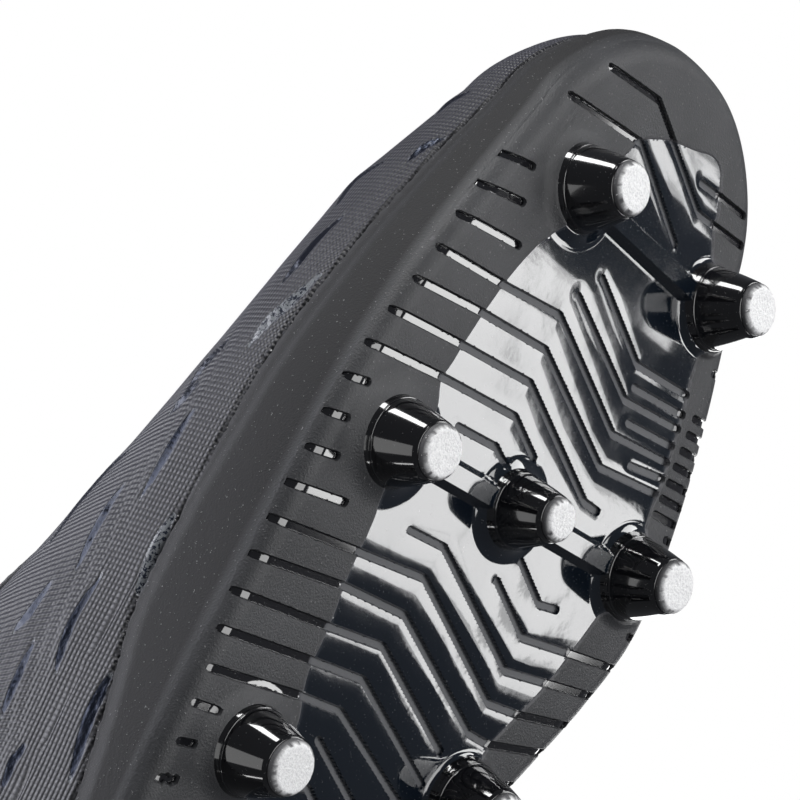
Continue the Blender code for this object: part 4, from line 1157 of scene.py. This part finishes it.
emboss = maths(tree, "ADD", maths(tree, "MULTIPLY", maths(tree, "MULTIPLY_ADD", rib, 0.5, 0.5), high_up),
               maths(tree, "MULTIPLY", maths(tree, "MULTIPLY_ADD", beads["Height"], 0.6, 0.3),
                     maths(tree, "MULTIPLY_ADD", high_up, -0.6, 1.0)))
uncrowded = ramp(tree, held(tree, "spread"), 0, 1, 0.25, 0.6)
smooth_dash = maths(tree, "MULTIPLY", maths(tree, "MULTIPLY_ADD", dash_share, -0.9, 1.0), uncrowded)
height = maths(tree, "MULTIPLY_ADD", skin_grain["Height"], 0.35, maths(tree, "MULTIPLY", emboss, smooth_dash))
bump(tree, shader, height, 0.00032, 0.8)
hollow = blend_colour(tree, ramp(tree, emboss, 0, 1, 0.1, 0.8), (0.010, 0.010, 0.012), (0.030, 0.030, 0.036))
navy = blend_colour(tree, dash_share, hollow, (0.010, 0.014, 0.026))
# Painted highlight: the glint marks take a pale grey colour, speckled by noise.
glint_speckle = maths(tree, "GREATER_THAN", noise_of(tree, place, 1500.0, 2.0, 0.7), 0.47)
speckled_glint = blend_colour(tree, maths(tree, "MULTIPLY", painted_glint_share, glint_speckle), navy, (0.17, 0.18, 0.19))
bite_share = held(tree, "bite")
# Painted shade: the bite line's colour is blended to near-black.
bite_painted_shade = blend_colour(tree, bite_share, speckled_glint, (0.003, 0.003, 0.003))
stray = maths(tree, "MULTIPLY", maths(tree, "GREATER_THAN", noise_of(tree, place, 1900.0), 0.69), bite_share)
chipped = blend_colour(tree, stray, bite_painted_shade, (0.5, 0.5, 0.5))
handled = maths(tree, "ADD", skin_wear["Dust"], maths(tree, "MULTIPLY", skin_wear["Rub"], 0.2))
dark_sheen = maths(tree, "SUBTRACT", maths(tree, "MULTIPLY", dash_share, 0.8), painted_glint_share)
drive(shader, Base_Color=blend_colour(tree, handled, chipped, (0.30, 0.30, 0.32)),
      Roughness=ramp(tree, dash_share, 0.44, 0.24), Metallic=maths(tree, "MAXIMUM", dark_sheen, bite_share),
      Coat_Weight=maths(tree, "MULTIPLY", dash_share, 0.12))

# %% [markdown]
# Each panel of the upper is a grid of even rows from the sole to its top edge. Where the skin meets
# the side wall it is pinched into a bite line that is darkened with painted shade, and at an open edge
# it is rolled inwards.

# %% Lay a skin
EYELET_FIRST_X, EYELET_STEP, EYELET_ROWS, EYELET_EDGE, EYELET_RADIUS = -12.0, -14.0, 6, 7.0, 2.4
DASH_RISE, SWELL_RISE, BITE_RISE = -0.15, 0.7, -0.6
BITE_ABOVE_WALL, LIP_DEPTHS = 0.5, (0.25, 0.7, 1.5, 2.7)
eyelet_x = EYELET_FIRST_X + np.arange(EYELET_ROWS) * EYELET_STEP
eyelet_u = np.stack([side_u(eyelet_x), side_u(eyelet_x, True)], 1).reshape(-1)
eyelet_v = down_from(eyelet_u, top_edge_v(eyelet_u), EYELET_EDGE)


def lay_skin(u, rows_count):
    """Outer face of an upper panel over columns u, with its dashes and a top edge rolled inwards."""
    top = top_edge_v(u)
    rows, height = even_rows(u, np.zeros(len(u)), top, rows_count)
    columns = u[:, None] + 0 * rows
    flat = skin(columns, rows, UPPER_DEPTH).reshape(-1, 3)
    dash, painted_glint, swell = dash_fields(flat)
    share = np.linspace(0, 1, rows_count)
    fade = np.tile(np.minimum(share * 4, 1) * np.minimum((1 - share) * 9, 1), len(u))
    base = perimeter(u)[0]
    wall_top = np.repeat(sole_height(base[:, 0]) + through(SIDEWALL_HEIGHT, base[:, 0]), rows_count)
    ragged = 0.25 * np.array([noise.noise(Vector(p * 1.6)) for p in flat])
    bite = np.clip(1.4 - np.abs(flat[:, 2] - wall_top - BITE_ABOVE_WALL + ragged) / 0.5, 0, 1)
    rise = DASH_RISE * dash + SWELL_RISE * swell * fade + BITE_RISE * bite
    points = skin(columns, rows, UPPER_DEPTH - rise.reshape(rows.shape))
    lip = [skin(u, top, UPPER_DEPTH + (top < NEAR_CROWN_V) * depth) for depth in LIP_DEPTHS]
    points = np.concatenate([points, np.stack(lip, 1)], 1)
    pad = ((0, 0), (0, len(lip)))
    values = {key: np.pad(value.reshape(rows.shape), pad).reshape(-1)
              for key, value in (("dash", dash), ("painted_glint", painted_glint), ("bite", bite))}
    gaps = np.linalg.norm(np.gradient(flat.reshape(*rows.shape, 3), axis=0), axis=2)
    spread = gaps / np.linalg.norm(np.gradient(base, axis=0), axis=1)[:, None]
    values["spread"] = np.pad(spread, pad, mode="edge").reshape(-1)
    values["laid"] = np.pad(laid_flat(u, rows, height), (*pad, (0, 0)), mode="edge").reshape(-1, 3)
    return points.reshape(-1, 3), grid_faces(len(u), points.shape[1]), values


def punch(points, faces, values, depth):
    """Opens the eyelets in a panel, and carries the values over to the new points."""
    middles = skin(eyelet_u, eyelet_v, depth)
    field = np.min(np.linalg.norm(points[:, None] - middles[None], axis=2), 1) - EYELET_RADIUS
    rows, triangles = clip(np.column_stack([points, *values.values()]), halved(faces), field)
    marks, start = {}, 3
    for key, value in values.items():
        marks[key] = rows[:, start] if value.ndim == 1 else rows[:, start:start + 3]
        start += 3 if value.ndim == 2 else 1
    return rows[:, :3], triangles, marks


# %% Upper and heel panel
UPPER_COLUMNS, UPPER_ROWS, HEEL_COLUMNS, HEEL_ROWS = 840, 116, 240, 130
upper_u = np.linspace(side_u(HEEL_PANEL_FRONT), side_u(HEEL_PANEL_FRONT, True), UPPER_COLUMNS)
upper_points, upper_faces, upper_values = punch(*lay_skin(upper_u, UPPER_ROWS), UPPER_DEPTH)
add_piece("upper_skin", upper_points, upper_faces, skin_look, "upper", slot="textured_synthetic",
          values=upper_values, weld=0.004, smooth=60)
heel_front = HEEL_PANEL_FRONT - PANEL_SEAM
heel_u = np.linspace(side_u(heel_front, True), 4 + side_u(heel_front), HEEL_COLUMNS)
heel_points, heel_faces, heel_values = lay_skin(heel_u, HEEL_ROWS)
add_piece("heel_skin", heel_points, heel_faces, skin_look, "heel_panel", slot="textured_synthetic",
          values=heel_values, smooth=60)

# %% [markdown]
# ## Eyestays
# A folded strip of smooth synthetic is stitched along each side of the lacing gap, because the skin
# alone would tear at the holes. It is a narrow grid with its long edges rolled under, punched with
# the skin's own eyelets, and its stitches are small separate beads of thread in a sunken line.

# %% Eyestay material
stay_look, tree, shader, place, stay_grain, stay_wear = worn_look(
    "smooth_synthetic", (0.016, 0.016, 0.019), 0.36, 1700.0, 0.53, 0.3, Specular_IOR_Level=0.5)
tone = blend_colour(tree, stay_grain["Tone"], (0.012, 0.012, 0.014), (0.022, 0.022, 0.026))
rubbed = blend_colour(tree, stay_wear["Rub"], tone, (0.07, 0.07, 0.08))
drive(shader, Base_Color=blend_colour(tree, stay_wear["Dust"], rubbed, (0.3, 0.3, 0.3)),
      Roughness=ramp(tree, stay_grain["Tone"], 0.30, 0.45))
bump(tree, shader, stay_grain["Height"], 0.00012, 0.8)

# %% Eyestays
EYESTAY_DEPTH, EYESTAY_WIDTH, EYESTAY_FRONT, STITCH_INSET, STITCH_PITCH = 0.8, 14.0, -7.0, 2.0, 2.6
STAY_COLUMNS, STAY_ROWS, EDGE_DROP = 260, 44, [1.25, 0.5, 0.12, 0.0]
GROOVE_DEPTH, GROOVE_WIDTH, THREAD_RADIUS = 0.22, 0.6, 0.32

thread_look, tree, shader = new_look("twisted_thread", (0.02, 0.02, 0.023), 0.6, Sheen_Weight=0.3)
twist = use_group(tree, grain, object_place(tree), Scale=3500.0)
drive(shader, Base_Color=blend_colour(tree, twist["Height"], (0.012, 0.012, 0.014), (0.05, 0.05, 0.055)))
bump(tree, shader, twist["Height"], 0.0002, 1.0)


def add_stitching(name, ends):
    """Row of stitches: one round-ended bead from each point to the next."""
    work = bmesh.new()
    for start, end in ends:
        span = end - start
        length = np.linalg.norm(span)
        turn = Vector(span / length).to_track_quat("Z", "Y").to_matrix().to_4x4()
        stretch = Matrix.Diagonal((THREAD_RADIUS, THREAD_RADIUS, length * 0.46, 1.0))
        bmesh.ops.create_uvsphere(work, u_segments=8, v_segments=6, radius=1.0,
                                  matrix=Matrix.Translation((start + end) / 2) @ turn @ stretch)
    points = np.array([v.co[:] for v in work.verts])
    faces = [[v.index for v in f.verts] for f in work.faces]
    work.free()
    add_piece(name, points, faces, thread_look, smooth=0)


for inner, node in ((False, "eyestay_outer"), (True, "eyestay_inner")):
    u = side_u(np.linspace(THROAT_REAR, EYESTAY_FRONT, STAY_COLUMNS), inner)
    top = top_edge_v(u)
    rows, _ = even_rows(u, down_from(u, top, EYESTAY_WIDTH), top, STAY_ROWS)
    drop = np.zeros(STAY_ROWS)
    drop[:4], drop[-4:] = EDGE_DROP, EDGE_DROP[::-1]
    from_edge = np.linspace(0, EYESTAY_WIDTH, STAY_ROWS) - STITCH_INSET
    groove = GROOVE_DEPTH * np.exp(-(from_edge / GROOVE_WIDTH) ** 2)
    points = skin(u[:, None] + 0 * rows, rows, EYESTAY_DEPTH + (drop + groove)[None, :]).reshape(-1, 3)
    points, faces, _ = punch(points, grid_faces(STAY_COLUMNS, STAY_ROWS), {}, EYESTAY_DEPTH)
    add_piece(node + "_strip", points, faces[:, ::-1] if inner else faces, stay_look, node,
              slot="textured_synthetic", smooth=50)
    stitched = skin(u, down_from(u, top, EYESTAY_WIDTH - STITCH_INSET), EYESTAY_DEPTH + 0.02)
    line = even_points(stitched, STITCH_PITCH, first=1)
    add_stitching(node + "_stitching", list(zip(line[:-1], line[1:])))

# %% [markdown]
# ## Linings, padding and tongue
# Inside the skin is a brushed textile lining. The collar and tongue are foam wrapped in a knitted
# cover, quilted by sewn lines, so they swell between the lines and pull in along them. A crowned grid
# gives that directly, with the CAD piece's own edges kept, where a blown-up cloth would drift off them.

# %% Textile materials
def textile_look(name, dark, light, pitch, rough=0.85):
    """Woven or knitted cloth with a thread pitch in millimetres."""
    look, tree, shader = new_look(name, dark, rough, Sheen_Weight=0.35, Sheen_Roughness=0.5)
    knit = use_group(tree, weave, held(tree, "laid", "Vector"), Pitch=pitch)
    fuzz = use_group(tree, grain, object_place(tree), Scale=1800.0)
    shade = maths(tree, "MULTIPLY_ADD", fuzz["Tone"], 0.4, maths(tree, "MULTIPLY", knit["Tone"], 0.6))
    drive(shader, Base_Color=blend_colour(tree, shade, dark, light))
    bump(tree, shader, maths(tree, "MULTIPLY_ADD", fuzz["Height"], 0.5, knit["Height"]), 0.0003, 0.9)
    return look


lining_look = textile_look("brushed_lining", (0.010, 0.010, 0.011), (0.035, 0.035, 0.038), 0.7)
padding_look = textile_look("knitted_padding", (0.014, 0.014, 0.016), (0.05, 0.05, 0.055), 1.2)
sock_look = textile_look("sock_cover", (0.02, 0.021, 0.024), (0.075, 0.077, 0.085), 0.9)
lace_look = textile_look("woven_lace", (0.008, 0.008, 0.009), (0.035, 0.035, 0.038), 0.8, 0.7)


def layer(u, low, top, count, depth):
    """Grid of points between two v values at a depth, and its places on the cloth; depth may be a grid."""
    rows, height = even_rows(u, low, top, count)
    return skin(u[:, None] + 0 * rows, rows, depth), laid_flat(u, rows, height)


def ring_faces(length, around):
    """Quads of a tube stored as length rings of around points."""
    i, j = np.meshgrid(np.arange(length - 1), np.arange(around), indexing="ij")
    k = (j + 1) % around
    here, there = i * around, (i + 1) * around
    return np.stack([here + j, there + j, there + k, here + k], -1).reshape(-1, 4)


def slab_between(name, outer, inner, laid, look, node, **more):
    """Closed padded piece from an outside and an inside grid of points."""
    columns, count = outer.shape[:2]
    ring = np.concatenate([outer, inner[:, ::-1]], 1)
    marks = np.concatenate([laid, laid[:, ::-1]], 1)
    width = 2 * count
    faces = ring_faces(columns, width).tolist()
    for i, turn in ((0, 1), (columns - 1, -1)):
        for j in range(count - 1):
            quad = [i * width + j, i * width + j + 1, i * width + width - 2 - j, i * width + width - 1 - j]
            faces.append(quad[::turn])
    return add_piece(name, ring.reshape(-1, 3), faces, look, node, values={"laid": marks.reshape(-1, 3)},
                     weld=0.002, smooth=70, **more)


# %% Linings
BOARD_TOP, FIT_GAP, COVERS, TRIM = 4.5, 0.3, 0.5, 1.0
COLLAR_PAD_HEIGHT, COLLAR_PAD_THICKNESS = 30.0, 4.0


def add_lining(name, node, u, top, rows_count, weld):
    """Lining from just above the board up to a top edge, a little inside the stiffeners that it covers."""
    low = v_at_height(u, sole_height(perimeter(u)[0][:, 0]) + BOARD_TOP + FIT_GAP)
    points, laid = layer(u, low, top, rows_count, LINING_DEPTH + COVERS)
    add_piece(name, points.reshape(-1, 3), grid_faces(len(u), rows_count)[:, ::-1], lining_look, node,
              slot="lining_textile", values={"laid": laid.reshape(-1, 3)}, weld=weld, smooth=60)


vamp_u = np.linspace(side_u(COLLAR_FRONT), side_u(COLLAR_FRONT, True), 360)
vamp_top = top_edge_v(vamp_u)
vamp_top = np.where(vamp_top < NEAR_CROWN_V, down_from(vamp_u, vamp_top, TRIM), vamp_top)
add_lining("vamp_lining_cloth", "vamp_lining", vamp_u, vamp_top, 60, weld=0.004)
back_u = np.linspace(side_u(COLLAR_FRONT - PANEL_SEAM, True), 4 + side_u(COLLAR_FRONT - PANEL_SEAM), 200)
back_top = top_edge_v(back_u)
under_pad = down_from(back_u, back_top, COLLAR_PAD_HEIGHT + TRIM)
add_lining("heel_lining_cloth", "heel_lining", back_u, under_pad, 40, weld=0.0)

# %% Collar padding
PAD_ROWS = 34
pad_low = down_from(back_u, back_top, COLLAR_PAD_HEIGHT)
pad_top = down_from(back_u, back_top, TRIM)
across_pad = np.linspace(0, 1, PAD_ROWS)
crown_pad = np.sqrt(np.clip(1 - (2 * across_pad - 1) ** 6, 0, 1))
round_pad = np.linspace(0, 1, len(back_u))
end_fade = np.minimum(np.minimum(round_pad, round_pad[::-1]) * 14, 1) ** 0.5
sewn = 1 - 0.35 * sum(np.exp(-((across_pad - line) / 0.05) ** 2) for line in (0.36, 0.68))
swell = COLLAR_PAD_THICKNESS * (0.35 + 0.65 * crown_pad * sewn)[None, :] * end_fade[:, None]
outside, laid = layer(back_u, pad_low, pad_top, PAD_ROWS, LINING_DEPTH - 0.2)
inside, _ = layer(back_u, pad_low, pad_top, PAD_ROWS, LINING_DEPTH + swell)
collar_pad = slab_between("collar_padding_quilted", outside, inside, laid, padding_look, "collar_padding",
                          slot="foam")

# %% Tongue
TONGUE_DEPTH, TONGUE_THICKNESS, TONGUE_HALF_WIDTH, TONGUE_BASE, TONGUE_TOP = 9.6, 3.6, 24.0, 6.0, -100.0
TONGUE_COLUMNS, TONGUE_ROWS = 150, 36
tongue_x = np.linspace(TONGUE_TOP, TONGUE_BASE, TONGUE_COLUMNS)
halves = []
for inner in (False, True):
    u = side_u(tongue_x, inner)
    edge_v = v_at_offset(u, TONGUE_HALF_WIDTH)
    rows = edge_v[:, None] + (CROWN_V - edge_v)[:, None] * np.linspace(0, 1, TONGUE_ROWS)[None, :]
    halves.append((u[:, None] + 0 * rows, rows))
columns_u, columns_v = (np.concatenate([halves[0][k], halves[1][k][:, -2::-1]], 1) for k in (0, 1))
sideways = np.linspace(-1, 1, columns_v.shape[1])
along = np.linspace(0, 1, TONGUE_COLUMNS)
edge_crown = np.clip(1 - np.abs(sideways) ** 5, 0, 1) ** 0.5
end_crown = np.minimum(np.minimum(along, 1 - along) * 22, 1) ** 0.5
quilt = 1 - 0.4 * np.exp(-((np.abs(sideways) - 0.55) / 0.05) ** 2)
bars = 1 - 0.3 * np.exp(-(((along * 9) % 1 - 0.5) / 0.12) ** 2) * (along > 0.1) * (along < 0.9)
puff = TONGUE_THICKNESS / 2 * (0.25 + 0.75 * edge_crown * quilt)[None, :] * (end_crown * bars)[:, None]
middle = TONGUE_DEPTH + TONGUE_THICKNESS / 2
outside = skin(columns_u, columns_v, middle - puff)
inside = skin(columns_u, columns_v, middle + puff)
laid = np.stack(np.broadcast_arrays(tongue_x[:, None], sideways[None, :] * TONGUE_HALF_WIDTH, 0.0 * puff), -1)
tongue_pad = slab_between("tongue_quilted", outside, inside, laid, padding_look, "tongue", body="tongue",
                          slot="foam")

# %% [markdown]
# ## Sockliner
# The sockliner is moulded foam under a woven cloth, with a rim that stands a little higher. It lies
# inside the board's outline and lifts out by the heel, so it rides on its own body.

# %% Sockliner
SOCK_DEPTH, SOCK_LOW, SOCK_HIGH, SOCK_RINGS = 6.2, 4.8, 8.3, 40
sock_u = np.linspace(0, 4, 360, endpoint=False)
sock_base, spine = perimeter(sock_u)
shares = np.linspace(0, 1, SOCK_RINGS)
rings = []
for level, order in ((SOCK_LOW, shares[::-1]), (SOCK_HIGH, shares)):
    edge = skin(sock_u, v_at_height(sock_u, sole_height(sock_base[:, 0]) + level), SOCK_DEPTH)[:, :2]
    for share in order:
        flat = edge + (spine - edge) * share
        dish = 0.9 * ease(share, 0.0, 0.35) + 0.5 * float(share < 0.02) if level == SOCK_HIGH else 0.0
        rings.append(np.column_stack([flat, sole_height(flat[:, 0]) + (level - dish)]))
sock_points = np.stack(rings, 1)
sock_faces = grid_faces(len(sock_u), 2 * SOCK_RINGS, closed=True)
sock_laid = np.concatenate([sock_points[..., :2], 0 * sock_points[..., :1]], -1).reshape(-1, 3)
sockliner = add_piece("sockliner_moulded", sock_points.reshape(-1, 3), sock_faces[:, ::-1], sock_look,
                      "sockliner", body="sockliner", slot="foam", values={"laid": sock_laid}, weld=0.002,
                      smooth=60)

# %% [markdown]
# ## Lace
# The lace is a flat woven tube that lies on edge nowhere: over the tongue it crosses as flat bars,
# and it turns down through each eyelet. One flat oval is carried along each bar's own line, with its
# wide side kept against the boot. Its route repeats the CAD part's eyelets.

# %% Lace
LACE_WIDTH, LACE_THICKNESS, LACE_OVER, LACE_SAG, LACE_RING, LACE_STEPS = 5.2, 1.7, -1.5, 2.0, 20, 90
angle = np.linspace(0, math.tau, LACE_RING, endpoint=False)
wide, thick = (np.sign(wave) * np.abs(wave) ** 0.8 * size / 2
               for wave, size in ((np.cos(angle), LACE_WIDTH), (np.sin(angle), LACE_THICKNESS)))
lace_points, lace_faces, lace_laid = [], [], []
for row, x in enumerate(eyelet_x):
    gap = float(throat_half_width(x))
    knots = []
    for inner in (False, True):
        u = float(side_u(x, inner))
        v = float(down_from(np.array([u]), top_edge_v(np.array([u])), EYELET_EDGE)[0])
        near_v = float(v_at_offset(np.array(u), gap + 3.6))
        over_v = float(v_at_offset(np.array(u), gap * 0.7))
        leg = [skin(u, v, 7.0), skin(u, v, 3.0), skin(u, v, LACE_OVER + 0.9), skin(u, near_v, LACE_OVER),
               skin(u, over_v, LACE_OVER + 1.6)]
        knots += leg + [skin(u, 1.5, LACE_SAG)] if not inner else leg[::-1]
    knots = np.array(knots)
    t = np.linspace(0, len(knots) - 1, LACE_STEPS)
    k = np.minimum(t.astype(int), len(knots) - 2)
    line = spline(*(knots[np.clip(k + j, 0, len(knots) - 1)] for j in (-1, 0, 1, 2)), (t - k)[:, None])
    ahead = unit(np.gradient(line, axis=0))
    broad = np.tile((1.0, 0.0, 0.0), (LACE_STEPS, 1))
    broad = unit(broad - (broad * ahead).sum(1, keepdims=True) * ahead)
    up = np.cross(ahead, broad)
    pinch = 1 - 0.25 * np.exp(-(np.minimum(t, len(knots) - 1 - t) / 1.2) ** 2)
    across = (wide * pinch[:, None])[..., None] * broad[:, None]
    tube = line[:, None] + across + thick[None, :, None] * up[:, None]
    places = np.broadcast_arrays(run_along(line)[:, None], wide[None, :], 0.0 * tube[..., 0])
    lace_faces.append(np.roll(ring_faces(LACE_STEPS, LACE_RING)[:, ::-1], 1, 1) + row * tube[..., 0].size)
    lace_points.append(tube.reshape(-1, 3))
    lace_laid.append(np.stack(places, -1).reshape(-1, 3))
add_piece("lace_flat", np.concatenate(lace_points), np.concatenate(lace_faces), lace_look, "lace",
          slot="lace_textile", values={"laid": np.concatenate(lace_laid)}, smooth=0)

# %% [markdown]
# ## Stiffeners and board
# The toe puff, the heel counter and the insole board are hidden sheet parts whose CAD shape is right.
# They stay as they are and take a mottled thermoplastic and a pressed-fibre finish.

# %% Carried-over CAD pieces
puff_look, tree, shader, place, puff_grain, puff_wear = worn_look(
    "thermoplastic_sheet", (0.32, 0.32, 0.30), 0.6, 1200.0, 0.55, 0.2)
mottled = blend_colour(tree, puff_grain["Tone"], (0.24, 0.24, 0.22), (0.40, 0.40, 0.37))
drive(shader, Base_Color=blend_colour(tree, puff_wear["Dust"], mottled, (0.1, 0.1, 0.1)))
bump(tree, shader, puff_grain["Height"], 0.0002, 0.6)

board_look, tree, shader = new_look("pressed_fibre", (0.5, 0.45, 0.36), 0.9)
fibres = use_group(tree, grain, object_place(tree), Scale=700.0)
drive(shader, Base_Color=blend_colour(tree, fibres["Height"], (0.38, 0.33, 0.25), (0.62, 0.57, 0.47)))
bump(tree, shader, fibres["Height"], 0.0003, 0.8)

for node, look in (("toe_puff", puff_look), ("heel_counter", puff_look), ("insole_board", board_look)):
    for part_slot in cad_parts[node].material_slots:
        part_slot.material = look
    print(node, "takes", look.name)
